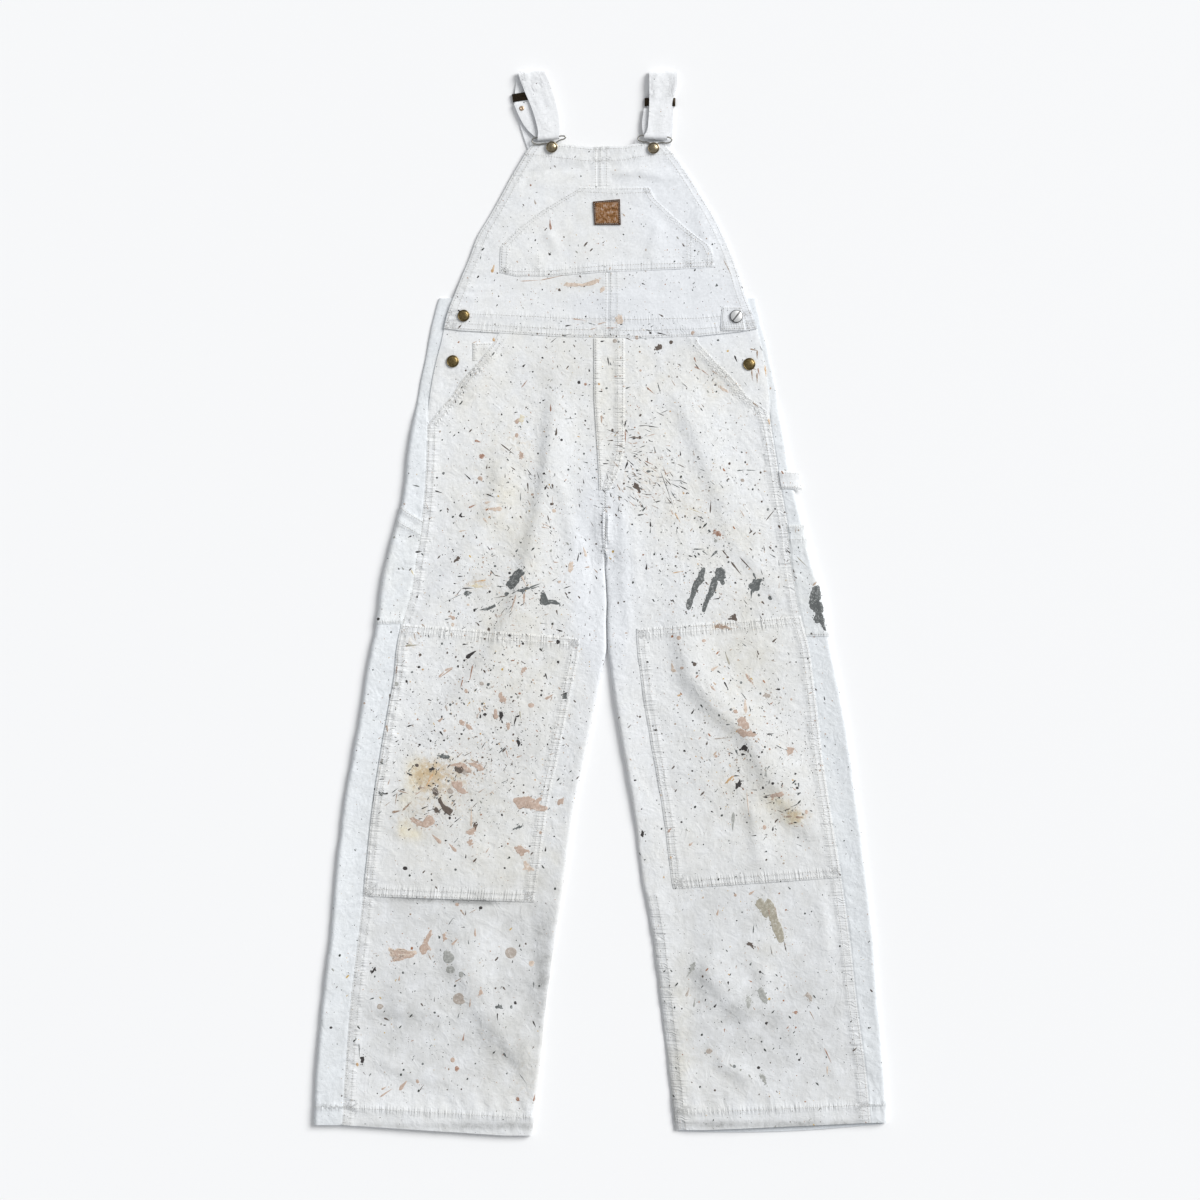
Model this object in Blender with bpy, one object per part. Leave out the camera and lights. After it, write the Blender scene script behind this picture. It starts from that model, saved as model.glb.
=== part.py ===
"""Painter's bib overalls, laid flat on their back, as the pieces a maker cuts and sews.

Frame: +X to the viewer's right, +Y up the garment towards the straps, +Z away from the surface it lies on.
Lengths below are millimetres; the meshes are made in metres. Left and right are the viewer's, facing the bib.
"""

import math

import bmesh
import bpy
import numpy as np

MM = 0.001
GARMENT = "overalls"

# Driving dimensions, in millimetres
CLOTH = 1.2  # canvas wall
HEM = 2.4  # turned and stitched hem, two canvas walls
GAP = 0.3  # clearance between sewn pieces
LAP = CLOTH + GAP  # how far a piece that lies on another stands above it
WEBBING = 1.6  # thickness of the shoulder strap
FOLD_DEPTH = 7.0  # how far a rolled leg edge reaches in from the outline
TRIM_HEM = 13.0  # width of the bib's side hem
LEG_HEM = 26.0  # width of the hem at the ankle
BIB_HEM = 21.0  # width of the hem along the bib's top
FLY_TOP = 345.0  # the fly stops here, against the waist seam
SEAT_TOP = 397.0  # top of the back's side tabs
FRONT_TOP = 362.0  # the front panels end here, under the bib
CROTCH = 60.0  # above this level the two legs are one body
CENTRE = (0.8, -1.4)  # moves the garment's bounding box onto the origin

# Colours: linear red, green, blue, then roughness and metallic
CANVAS = ((0.80, 0.81, 0.83), 0.9, 0.0)
CANVAS_WARM = ((0.78, 0.77, 0.73), 0.9, 0.0)
CANVAS_BACK = ((0.74, 0.74, 0.73), 0.9, 0.0)
STRAP_CLOTH = ((0.80, 0.80, 0.81), 0.9, 0.0)
LEATHER = ((0.36, 0.20, 0.09), 0.7, 0.0)
BRASS = ((0.36, 0.27, 0.13), 0.35, 1.0)
STEEL = ((0.60, 0.60, 0.58), 0.3, 1.0)
DARK_METAL = ((0.05, 0.04, 0.03), 0.45, 1.0)
COPPER = ((0.62, 0.42, 0.25), 0.35, 1.0)


def table(columns, rows):
    """A table as one array for each named column."""
    return {name: np.array(values, dtype=float) for name, values in zip(columns, zip(*rows))}


def read(source, column, y):
    """A column of a table whose rows run down the garment, between its rows."""
    return np.interp(-np.asarray(y, dtype=float), -source["y"], source[column])


# A row for each level of a leg, waist to ankle:
# fold    the rolled outer edge
# side    the side seam, and above it the front's edge at the side opening
# pocket  how far in from it the hip pocket's slanted opening lies
# inner   the centre seam, then the leg's inner edge
LEG_COLUMNS = ("y", "fold", "side", "pocket", "inner")
LEFT_LEG = table(LEG_COLUMNS, (
    (396, -211, -195, 70, 5),
    (362, -221, -203.5, 75, 5),
    (340, -225, -208, 69, 5),
    (315, -229, -214.5, 56, 5),
    (290, -234.5, -219.7, 38, 5),
    (268, -238.5, -223, 27, 5),
    (252, -241.5, -225, 15, 5),
    (232, -246, -226, 0, 5),
    (200, -251.5, -227, 0, 5),
    (165, -254.5, -228.5, 0, 5),
    (127, -260, -231.5, 0, 5),
    (91, -270, -236, 0, 4.5),
    (55, -279, -242.5, 0, 4),
    (20, -286.5, -247.5, 0, 6.3),
    (-24, -291.5, -259.5, 0, 6.3),
    (-60, -300, -266, 0, 6),
    (-90, -305.5, -268.5, 0, -3),
    (-130, -311, -275.5, 0, -10),
    (-190, -322, -286, 0, -20.5),
    (-270, -335.5, -298, 0, -36),
    (-350, -345, -306.5, 0, -47),
    (-430, -352, -315.5, 0, -59.5),
    (-520, -363, -326, 0, -72),
    (-610, -370.8, -333, 0, -81),
    (-690, -373.5, -337, 0, -89.5),
))
RIGHT_LEG = table(LEG_COLUMNS, (
    (396, 201, 187, 60, 5),
    (362, 207.5, 200, 75, 5),
    (340, 214, 206, 81, 5),
    (315, 219.5, 211, 63, 5),
    (290, 225, 215, 42, 5),
    (268, 228.5, 217.5, 27, 5),
    (252, 231, 218.7, 5, 5),
    (232, 234.5, 220.4, 0, 5),
    (200, 240, 225.5, 0, 5),
    (165, 246, 231, 0, 5),
    (127, 256, 237.5, 0, 5),
    (91, 264, 243.8, 0, 5),
    (55, 272.5, 247.5, 0, 5),
    (20, 283.5, 253, 0, 7.5),
    (-24, 292, 261, 0, 8),
    (-60, 298, 270, 0, 8.5),
    (-90, 305, 274, 0, 12),
    (-130, 313, 279, 0, 17.7),
    (-190, 323, 285.7, 0, 28),
    (-270, 334, 297.6, 0, 42),
    (-350, 344, 310.6, 0, 52),
    (-430, 353, 321.8, 0, 66.5),
    (-520, 359.5, 332, 0, 77.5),
    (-610, 367.5, 343.6, 0, 88),
    (-690, 372.5, 351, 0, 97),
))

# Levels of the cloth's upper face: over the middle of a leg, along its outer and its inner edge
HEIGHTS = table(("y", "middle", "outer", "inner"), (
    (396, 6.4, 6.4, 6.4),
    (268, 6.4, 6.4, 6.4),
    (242, 6.4, 7.0, 6.4),
    (200, 6.4, 8.0, 6.4),
    (150, 6.4, 9.0, 6.4),
    (91, 6.4, 9.0, 5.0),
    (60, 6.4, 9.0, 3.4),
    (20, 6.4, 9.0, 4.5),
    (-24, 6.4, 9.0, 6.2),
    (-60, 6.4, 9.0, 7.5),
    (-130, 6.4, 9.0, 8.0),
    (-610, 6.4, 9.0, 8.0),
    (-650, 7.6, 9.0, 8.4),
    (-690, 7.6, 9.0, 8.4),
))
OUTER_ROLL = 30.0  # distance over which the outer edge's roundness sinks to the middle's level
INNER_ROLL = 45.0

# Below the side opening the back strip meets the front level; above it, it is tucked this far under the front
TUCK = table(("y", "under", "width"), (
    (396, 3.0, 13.0),
    (290, 3.0, 13.0),
    (268, 3.0, 0.0),
    (242, 0.0, 0.0),
    (-690, 0.0, 0.0),
))

# How much lower a level lies at the inner edge than at the side seam
LEFT_DIP = table(("y", "dip"), ((396, 6), (362, 6), (340, 0), (232, 0), (-24, 18), (-60, 18),
                                (-180, 15), (-379, 8), (-520, 9), (-690, 14)))
RIGHT_DIP = table(("y", "dip"), ((396, 12), (362, 12), (340, 0), (232, 0), (-15, 17), (-180, 16),
                                 (-355, 15), (-520, 12), (-690, 9.5)))

# The largest folds, each a soft ridge along a line of points (x, y), with its height and half width
FOLDS = {
    "left": (
        (((-54, 272), (-70, 174), (-79, 83), (-79, 5)), 4.6, 18.0),
        (((-158, 118), (-206, 20)), 2.4, 18.0),
        (((-150, -60), (-215, -190)), 3.0, 22.0),
        (((-210, -417), (-145, -469), (-93, -560)), 5.0, 19.0),
        (((-262, -470), (-236, -600)), 2.4, 18.0),
    ),
    "right": (
        (((128, 239), (148, 174), (174, 109), (193, 44)), 3.8, 19.0),
        (((52, 210), (42, 110), (40, 20)), 2.6, 18.0),
        (((128, -53), (193, -144), (252, -242), (284, -320)), 5.0, 19.0),
        (((128, -391), (174, -463), (213, -528)), 4.0, 18.0),
        (((200, -560), (258, -600)), 2.4, 17.0),
    ),
}


def with_hem(levels, foot):
    """Adds the row above the ankle hem, the hem's turned edge and the foot."""
    return (*levels, foot + LEG_HEM + 4, foot + LEG_HEM, foot)


# Levels of the rows of each leg's panels, top to hem
LEFT_LEVELS = with_hem((
    SEAT_TOP, FRONT_TOP, 340, 315, 290, 268, 252, 242, 232, 200, 165, 127, 91, 55, 20,
    -26, -65, -109, -153, -198, -243, -288, -333, -379, -422, -468, -514, -560, -604), -676)
RIGHT_LEVELS = with_hem((
    SEAT_TOP, FRONT_TOP, 340, 315, 290, 268, 252, 242, 232, 200, 165, 130, 103, 91, 55, 20,
    -15, -42, -88, -132, -177, -222, -266, -310, -355, -400, -450, -505, -555, -600), -673)

LEGS = {
    "left": {"sign": -1, "lines": LEFT_LEG, "dip": LEFT_DIP, "levels": LEFT_LEVELS,
             "patch": (-26, -379), "patch_inset": 35.0, "tool_pocket": (127, -26), "hem_sag": 0.0},
    "right": {"sign": 1, "lines": RIGHT_LEG, "dip": RIGHT_DIP, "levels": RIGHT_LEVELS,
              "patch": (-15, -355), "patch_inset": 38.0, "tool_pocket": (103, -42), "hem_sag": 7.0},
}
ACROSS = (0.0, 0.16, 0.33, 0.50, 0.67, 0.84, 1.0)  # columns from the side seam to the knee patch's edge
INNER_STEPS = 3  # columns round the inner edge
OUTER_ANGLES = (90, 45, 0, -45, -90)  # columns round the outer edge, in degrees
BACK_ACROSS = (0.5, 1.0)  # columns over the flat underside

# Bib: outline by level, then its lower and upper edges by x
BIB_SIDES = table(("y", "left", "right"), (
    (601, -86, 79),
    (593, -93, 86),
    (573, -106, 102),
    (551, -119, 117),
    (527, -132, 132),
    (504, -145, 146),
    (478, -160.5, 159),
    (450, -171, 171),
    (426, -181, 179),
    (402, -190.5, 186),
    (380, -199, 194.5),
    (358, -204.5, 201.5),
    (340, -208, 206),
))
BIB_SEAM = table(("y", "x"), ((601, -4.5), (540, -4.5), (430, 8.5), (340, 8.5)))
BIB_FOOT = ((-205, 358), (-184, 355), (-132, 352), (-54, 347), (5, 346), (50, 345), (128, 348),
            (180, 353.5), (202, 357.5))
BIB_TOP = ((-86, 600), (-50, 597), (-15, 593), (4.5, 594), (30, 594), (40, 597), (79, 601))
BIB_HEIGHTS = table(("y", "middle", "edge"), (
    (601, 6.0, 5.4),
    (520, 6.2, 4.4),
    (430, 6.4, 4.6),
    (395, 7.0, 6.3),
    (362, 7.9, 7.7),
    (340, 7.9, 7.9),
))
BIB_ROLL = 30.0
BIB_ROWS = (0.0, 0.07, 0.16, 0.27, 0.38, 0.49, 0.60, 0.70, 0.80, 0.90)

# Pieces on the bib and the front, as levels with a left and a right edge
BIB_POCKET = table(("y", "left", "right"), (
    (541, -27, 62),
    (525, -54, 71),
    (511, -77, 86),
    (489, -106, 109),
    (465, -131, 140),
    (450, -132, 146),
    (434, -132, 146),
))
POCKET_FOOT = ((-132, 430), (-110, 425), (-73, 425), (8, 431), (63, 433), (146, 437))
FLY = table(("y", "left", "right"), (
    (FLY_TOP, -9.7, 30),
    (300, -9.7, 30),
    (265, -9.7, 30),
    (226, -7, 30),
    (200, -5.5, 29),
    (175, -4, 24),
    (148, -3.2, 11),
))
BUTTON_PATCH = table(("y", "left", "right"), (
    (386, 157, 181),
    (372, 155, 184),
    (355, 155, 187),
))
WATCH_POCKET = table(("y", "left", "right"), (
    (339, -167, -142.5),
    (327, -167, -150.5),
    (316, -167, -160.5),
))
LEATHER_PATCH = ((-11, 521.3), (22.7, 525.2), (25.3, 494), (-8.5, 490))
LEATHER_THICK = 1.6

BACK_UPPER = table(("y", "left", "right"), (
    (522, -95, 95),
    (480, -112, 112),
    (440, -135, 135),
    (SEAT_TOP + GAP, -150, 150),
))

# Straps, from the end riveted at the slide, round the buckle, up the front, over and back down behind
STRAP_COLUMNS = ("x", "y", "z", "width", "turn")  # turn is the angle of the width line to +X, in degrees
STRAPS = {
    "left": table(STRAP_COLUMNS, (
        (-97.5, 652, 4.5, 33, 9),
        (-92.5, 638, 4.4, 31, 14),
        (-84.5, 622.5, 4.6, 29, 16),
        (-73, 608.5, 5.2, 28, 7),
        (-69.4, 605, 5.2, 28, 5.2),
        (-69, 603.6, 5.8, 28, 5.2),
        (-69, 603.1, 7.3, 28, 5.2),
        (-69, 603.6, 8.8, 28, 5.2),
        (-69, 605, 9.4, 28, 5.2),
        (-68.5, 612, 9.4, 28, 8),
        (-71, 631, 8.8, 30, 14),
        (-76.5, 651, 8.0, 32, 16),
        (-84, 671, 7.5, 34, 14),
        (-89.5, 685, 7.3, 34, 8),
        (-91, 689, 6.7, 34, 4),
        (-91.5, 690.8, 5.2, 34, 3),
        (-91.5, 690.8, 3.2, 34, 3),
        (-91.5, 689, 1.7, 34, 3),
        (-92.5, 684, 1.1, 34, 4),
        (-94.5, 675, 1.6, 34, 7),
        (-95.5, 668, 2.5, 34, 8),
        (-96, 652, 2.5, 34, 9),
        (-94.5, 645, 1.5, 34, 11),
        (-88, 622, 1.1, 34, 16),
        (-74, 580, 1.1, 34, 16),
        (-63, 545, 1.1, 34, 14),
        (-58, 525, 2.4, 34, 11),
        (-50, 470, 2.4, 34, 8),
    )),
    "right": table(STRAP_COLUMNS, (
        (71.5, 643.5, 4.5, 33, 0),
        (69.6, 635, 4.4, 31, -6),
        (67, 622.5, 4.6, 29, -10),
        (69, 609, 5.2, 30, -4),
        (70, 605.6, 5.2, 30, -3.4),
        (70, 604.2, 5.8, 30, -3.4),
        (70, 603.7, 7.3, 30, -3.4),
        (70, 604.2, 8.8, 30, -3.4),
        (70, 605.6, 9.4, 30, -3.4),
        (73, 612, 9.4, 29, -3),
        (76, 629, 9.0, 30, -4),
        (79, 652, 8.2, 34, -3),
        (80, 674, 7.6, 36, 0),
        (80, 685, 7.3, 36, 0),
        (80, 689, 6.7, 36, 0),
        (80, 690.8, 5.2, 36, 0),
        (80, 690.8, 3.2, 36, 0),
        (80, 689, 1.7, 35, 0),
        (79, 684, 1.1, 34, 0),
        (78, 667, 1.6, 34, 0),
        (77, 659.5, 2.5, 34, 0),
        (76, 644.5, 2.5, 34, 0),
        (76, 637, 1.5, 34, 0),
        (76, 615, 1.1, 34, 2),
        (71, 580, 1.1, 34, 10),
        (63, 545, 1.1, 34, 12),
        (58, 525, 2.4, 34, 11),
        (50, 470, 2.4, 34, 8),
    )),
}
SLIDES = {"left": (-96, 660, 9), "right": (76, 652, 0)}  # x, y, turn in degrees
SLIDE_SIZE = (40.0, 10.5, 4.4)
SLIDE_WALL = 1.0
RIVETS = {"left": (-103.5, 643.5, 5.6), "right": (70.5, 636.5, 5.6)}
RIVET_RADIUS = 3.2

# Wire buckles: the bar that carries the strap, then round the button's shank and back, (x, y)
WIRE = 0.9  # wire radius
WIRE_LEVEL = 7.3
SHANK_TURN = 4.6  # radius of the wire round the shank
BUCKLES = {
    "left": {"button": (-64.4, 592.8), "before": ((-89, 603.4), (-76, 604.4), (-62, 605.7), (-48, 607),
                                                  (-46.8, 605.6), (-55, 601.3), (-59.5, 598.3)),
             "after": ((-70, 597.6), (-80, 596.8), (-87, 597.2), (-89.8, 600))},
    "right": {"button": (67.6, 591.5), "before": ((48.6, 606.8), (62, 606.1), (76, 605.3), (90, 604.4),
                                                  (91.2, 602), (86, 598.2), (79, 598.8), (72.6, 597.4)),
              "after": ((61.5, 598.4), (52, 600), (47.8, 603))},
}

SIDE_BUTTONS = {  # x, y and radius; the bib carries the upper ones, the pocket facing the lower ones
    "side_button_upper_left": (-178.8, 374, 7.8),
    "side_button_lower_left": (-193, 315, 8.0),
    "side_button_lower_right": (191.8, 311.4, 8.0),
}
SCREW_BUTTON = (174.9, 373.1, 8.3)
SCREW_SLOT = (2.0, 1.2, 52.0)  # width, depth, turn in degrees


# ---------------------------------------------------------------- making objects

def material(name, look):
    """A Principled material from a (colour, roughness, metallic) row."""
    colour, roughness, metallic = look
    made = bpy.data.materials.new(name)
    made.use_nodes = True
    shader = made.node_tree.nodes["Principled BSDF"]
    shader.inputs["Base Color"].default_value = (*colour, 1.0)
    shader.inputs["Roughness"].default_value = roughness
    shader.inputs["Metallic"].default_value = metallic
    made.diffuse_color = (*colour, 1.0)
    return made


def add_object(name, mesh, look):
    """Links an object, carried by the empty that centres the garment."""
    made = bpy.data.objects.new(name, mesh)
    made.data.materials.append(material(name, look))
    made.parent = bpy.data.objects[GARMENT]
    bpy.context.scene.collection.objects.link(made)
    return made


def object_from_bmesh(name, bm, look, smooth=True):
    """Turns the faces outwards, splits them into triangles and makes the object."""
    bmesh.ops.recalc_face_normals(bm, faces=bm.faces)
    bmesh.ops.triangulate(bm, faces=bm.faces)
    mesh = bpy.data.meshes.new(name)
    bm.to_mesh(mesh)
    bm.free()
    if smooth:
        mesh.shade_smooth()
        mesh.set_sharp_from_angle(angle=math.radians(50))
    return add_object(name, mesh, look)


def normals_of(points, facing):
    """Unit normals of a grid of points; facing is +1 for cloth that looks up, -1 for cloth that looks down."""
    normals = np.cross(np.gradient(points, axis=1), np.gradient(points, axis=0))
    normals /= np.linalg.norm(normals, axis=2, keepdims=True)
    return normals if normals[..., 2].sum() * facing > 0 else -normals


def cloth(name, points, look, thickness=CLOTH, normals=None):
    """A closed wall behind a grid of points of its outer face."""
    if normals is None:
        normals = normals_of(points, 1)
    rows, columns = points.shape[:2]
    depth = np.broadcast_to(np.asarray(thickness, dtype=float), (rows, columns))[..., None]
    bm = bmesh.new()
    faces = []
    for layer in (points, points - normals * depth):
        faces.append([[bm.verts.new(layer[r, c] * MM) for c in range(columns)] for r in range(rows)])
    outer, inner = faces
    for r in range(rows - 1):
        for c in range(columns - 1):
            bm.faces.new((outer[r][c], outer[r][c + 1], outer[r + 1][c + 1], outer[r + 1][c]))
            bm.faces.new((inner[r][c], inner[r + 1][c], inner[r + 1][c + 1], inner[r][c + 1]))
    rim = [(0, c) for c in range(columns)] + [(r, columns - 1) for r in range(1, rows)]
    rim += [(rows - 1, c) for c in range(columns - 2, -1, -1)] + [(r, 0) for r in range(rows - 2, 0, -1)]
    for (r0, c0), (r1, c1) in zip(rim, rim[1:] + rim[:1]):
        bm.faces.new((outer[r0][c0], inner[r0][c0], inner[r1][c1], outer[r1][c1]))
    return object_from_bmesh(name, bm, look)


def turned(name, profile, look, place, segments=16):
    """A round piece from a profile of (radius, height) points, both ends on the axis."""
    bm = bmesh.new()
    steps = np.arange(segments) * 2 * math.pi / segments
    rings = []
    for radius, height in profile:
        if radius == 0:
            rings.append([bm.verts.new((0, 0, height * MM))] * segments)
        else:
            rings.append([bm.verts.new((radius * math.cos(a) * MM, radius * math.sin(a) * MM, height * MM))
                          for a in steps])
    for low, high in zip(rings, rings[1:]):
        for i in range(segments):
            j = (i + 1) % segments
            corners = []
            for vert in (low[i], low[j], high[j], high[i]):
                if vert not in corners:
                    corners.append(vert)
            bm.faces.new(corners)
    made = object_from_bmesh(name, bm, look)
    made.location = [value * MM for value in place]
    return made


# ---------------------------------------------------------------- the lie of the cloth

def smooth_fall(distance, reach):
    """1 at the edge, easing to 0 at the reach."""
    return (1 - np.clip(distance / reach, 0, 1)) ** 2


def ridge(x, y, line, height, half_width):
    """A soft ridge along a line of points, fading at its two ends."""
    best = np.full(np.broadcast(x, y).shape, 1e9)
    for (x0, y0), (x1, y1) in zip(line, line[1:]):
        run = np.array((x1 - x0, y1 - y0), dtype=float)
        along = np.clip(((x - x0) * run[0] + (y - y0) * run[1]) / run.dot(run), 0, 1)
        best = np.minimum(best, np.hypot(x - x0 - along * run[0], y - y0 - along * run[1]))
    return height * np.exp(-0.5 * (best / half_width) ** 2)


def front_level(side, x, y):
    """Height of the front's upper face."""
    leg = LEGS[side]
    x = np.asarray(x, dtype=float)
    y = np.asarray(y, dtype=float)
    wrapped = np.where(y < CROTCH, FOLD_DEPTH, 0.0)
    from_outer = np.abs(x - read(leg["lines"], "fold", y)) - FOLD_DEPTH
    from_inner = np.abs(x - read(leg["lines"], "inner", y)) - wrapped
    middle = read(HEIGHTS, "middle", y)
    level = middle + (read(HEIGHTS, "outer", y) - middle) * smooth_fall(from_outer, OUTER_ROLL)
    level += (read(HEIGHTS, "inner", y) - middle) * smooth_fall(from_inner, INNER_ROLL)
    fade = np.clip((290 - y) / 60, 0, 1) * np.clip(from_outer / 30, 0, 1) * np.clip(from_inner / 20, 0, 1)
    for line, height, half_width in FOLDS[side]:
        level = level + fade * ridge(x, y, line, height, half_width)
    return level


def bib_level(x, y):
    """Height of the bib's upper face."""
    left = x - read(BIB_SIDES, "left", y)
    right = read(BIB_SIDES, "right", y) - x
    middle = read(BIB_HEIGHTS, "middle", y)
    return middle + (read(BIB_HEIGHTS, "edge", y) - middle) * smooth_fall(np.minimum(left, right), BIB_ROLL)


def between(start, end, share):
    return start + (end - start) * share


def leg_y(side, level, share):
    """A row's height at a share of the way from the side seam to the inner edge."""
    return level - read(LEGS[side]["dip"], "dip", level) * share


def front_points(side):
    """The front panel's outer face, a row for each level from under the bib to the ankle."""
    leg = LEGS[side]
    sign = leg["sign"]
    rows = []
    for level in [value for value in leg["levels"] if value <= FRONT_TOP]:
        inner_y = leg_y(side, level, 1)
        inner = float(read(leg["lines"], "inner", inner_y))
        edge = read(leg["lines"], "side", level) - sign * (read(leg["lines"], "pocket", level) + GAP / 2)
        patch = inner + sign * leg["patch_inset"]
        row = []
        for share in ACROSS:
            x = between(edge, patch, share)
            y = leg_y(side, level, share)
            row.append((x, y, front_level(side, x, y)))
        for step in range(INNER_STEPS + 1):
            share = step / INNER_STEPS
            if inner_y >= CROTCH:
                x = inner + sign * (12 * (1 - share) + GAP / 2)
                row.append((x, inner_y, front_level(side, x, inner_y)))
                continue
            angle = math.radians(90 - 180 * share)
            top = front_level(side, inner + sign * FOLD_DEPTH, inner_y)
            x = inner + sign * FOLD_DEPTH * (1 - math.cos(angle))
            row.append((x, inner_y, top / 2 * (1 + math.sin(angle))))
        rows.append(row)
    return np.array(rows, dtype=float)


def back_row(side, level):
    """The back panel at one level: over the front as far as the side seam, round the edge and underneath."""
    leg = LEGS[side]
    sign = leg["sign"]
    fold = float(read(leg["lines"], "fold", level))
    edge = float(read(leg["lines"], "side", level) + sign * GAP / 2 - sign * read(TUCK, "width", level))
    under = float(read(TUCK, "under", level))
    crest = fold - sign * FOLD_DEPTH
    row = []
    for share in (0.0, 0.5):
        x = between(edge, crest, share)
        row.append((x, level, float(front_level(side, x, level)) - under))
    top = float(front_level(side, crest, level)) - under
    for degrees in OUTER_ANGLES:
        angle = math.radians(degrees)
        row.append((crest + sign * FOLD_DEPTH * math.cos(angle), level, top / 2 * (1 + math.sin(angle))))
    inner_y = leg_y(side, level, 1)
    wrapped = FOLD_DEPTH + 2 * GAP if inner_y < CROTCH else GAP / 2
    start = float(read(leg["lines"], "inner", inner_y)) + sign * wrapped
    sag = leg["hem_sag"] if level == leg["levels"][-1] else 0.0
    for share in BACK_ACROSS:
        y = leg_y(side, level, share) - sag * math.sin(math.pi * (share * 0.8 + 0.1))
        row.append((between(crest, start, share), y, 0.0))
    return row


def hem_thickness(side, levels, columns):
    """Doubled cloth over the ankle hem, single above it."""
    first = LEGS[side]["levels"][-2]
    depth = [HEM if level <= first else CLOTH for level in levels]
    return np.repeat(np.array(depth)[:, None], columns, axis=1)


# ---------------------------------------------------------------- the legs

def make_leg(side):
    """Front panel, back panel, knee patch and tool pocket of one leg."""
    leg = LEGS[side]
    front_levels = [value for value in leg["levels"] if value <= FRONT_TOP]
    front = front_points(side)
    front_normals = normals_of(front, 1)
    front_normals[front[:, -1, 1] < CROTCH, -1] = (0, 0, -1)  # it ends square against the back, underneath
    cloth("front_" + side, front, CANVAS, hem_thickness(side, front_levels, front.shape[1]), front_normals)

    back = np.array([back_row(side, level) for level in leg["levels"]])
    back_normals = normals_of(back, -1)
    cloth("back_" + side, back, CANVAS_BACK, hem_thickness(side, leg["levels"], back.shape[1]), back_normals)

    top, foot = (front_levels.index(level) for level in leg["patch"])
    rows, columns = slice(top, foot + 1), slice(0, len(ACROSS))
    normals = front_normals[rows, columns]
    cloth("knee_patch_" + side, front[rows, columns] + normals * LAP, CANVAS_WARM, CLOTH, normals)

    top, foot = (leg["levels"].index(level) for level in leg["tool_pocket"])
    rows, columns = slice(top, foot + 1), slice(0, 5)
    normals = back_normals[rows, columns]
    pocket = back[rows, columns] + normals * LAP
    if side == "left":  # its mouth slants down towards the seam
        slant = np.array((0.5, 0.4, 0.25, 0.1, 0.0))[:, None]
        pocket[0] = between(pocket[0], pocket[1], slant)
    cloth("tool_pocket_" + side, pocket, CANVAS, CLOTH, normals)


def make_facing(side):
    """Hip pocket facing between the side opening and the slanted mouth, and on under the front's edge."""
    leg = LEGS[side]
    sign = leg["sign"]
    rows = []
    for level in (360, 340, 315, 290, 268, 254):
        edge = read(leg["lines"], "side", level)
        mouth = edge - sign * read(leg["lines"], "pocket", level)
        start = edge - sign * GAP
        row = []
        for share in (0.0, 0.33, 0.67, 1.0):
            x = between(start, mouth - sign * 16, share)
            y = leg_y(side, level, share * 0.3)
            row.append((x, y, front_level(side, x, y) - LAP))
        rows.append(row)
    cloth("pocket_facing_" + side, np.array(rows, dtype=float), CANVAS)


def make_hammer_loop():
    """Folded band caught in the right side seam and reaching past the edge."""
    rows = []
    for level in (173, 161, 149):
        flat = back_row("right", level)[:3]
        crest_x, crest_y, crest_z = flat[-1]
        row = [(x, y, z + LAP) for x, y, z in flat]
        row.append((crest_x + FOLD_DEPTH + 1, crest_y, crest_z + 0.8))
        row.append((crest_x + FOLD_DEPTH + 8.5, crest_y - 1, crest_z - 2.5))
        rows.append(row)
    cloth("hammer_loop", np.array(rows), CANVAS)


def make_back_upper():
    """Plain upper back that carries the straps, hidden under the bib."""
    rows = []
    for y, left, right in zip(BACK_UPPER["y"], BACK_UPPER["left"], BACK_UPPER["right"]):
        rows.append([(between(left, right, share), y, CLOTH) for share in (0.0, 0.33, 0.67, 1.0)])
    cloth("back_upper", np.array(rows), CANVAS_BACK)


# ---------------------------------------------------------------- the bib and what lies on it

def make_bib(side):
    """Half of the bib, from the waist seam to the top hem and from the side hem to the centre seam."""
    inward = 1 if side == "left" else -1
    foot_x, foot_y = zip(*BIB_FOOT)
    top_x, top_y = zip(*BIB_TOP)
    share_of_hem = 1 - BIB_HEM / (600 - 346)
    shares = [*BIB_ROWS, share_of_hem, 1.0]
    rows, depths = [], []
    for share in shares:
        row = []
        for column in range(7):
            y = between(350.0, 597.0, share)
            for _ in range(3):  # the row's height and the column's place depend on each other
                edge = read(BIB_SIDES, side, y)
                seam = read(BIB_SEAM, "x", y) - inward * GAP / 2
                hem = edge + inward * TRIM_HEM
                roll = edge + inward * BIB_ROLL
                x = (edge, hem, hem + inward * 3, roll, between(roll, seam, 0.35),
                     between(roll, seam, 0.7), seam)[column]
                y = between(np.interp(x, foot_x, foot_y), np.interp(x, top_x, top_y), share)
            row.append((x, y, bib_level(x, y)))
        rows.append(row)
        thick_row = share > share_of_hem - 0.001
        depths.append([HEM if thick_row or column < 2 else CLOTH for column in range(7)])
    cloth("bib_" + side, np.array(rows, dtype=float), CANVAS, np.array(depths))


def panel_on(name, outline, level, look, shares, foot=None, thickness=CLOTH):
    """A piece that lies on another, from levels with a left and a right edge."""
    rows = []
    for y, left, right in zip(outline["y"], outline["left"], outline["right"]):
        rows.append([(between(left, right, share), y) for share in shares])
    if foot is not None:
        foot_x, foot_y = zip(*foot)
        last = [between(outline["left"][-1], outline["right"][-1], share) for share in shares]
        rows.append([(x, float(np.interp(x, foot_x, foot_y))) for x in last])
    points = [[(x, y, float(level(x, y)) + thickness + GAP) for x, y in row] for row in rows]
    return cloth(name, np.array(points, dtype=float), look, thickness)


def fly_level(x, y):
    return front_level("left" if x < 5 else "right", x, y)


def pocket_level(x, y):
    return bib_level(x, y) + LAP


def facing_level(x, y):
    return front_level("left", x, y) - LAP


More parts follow.
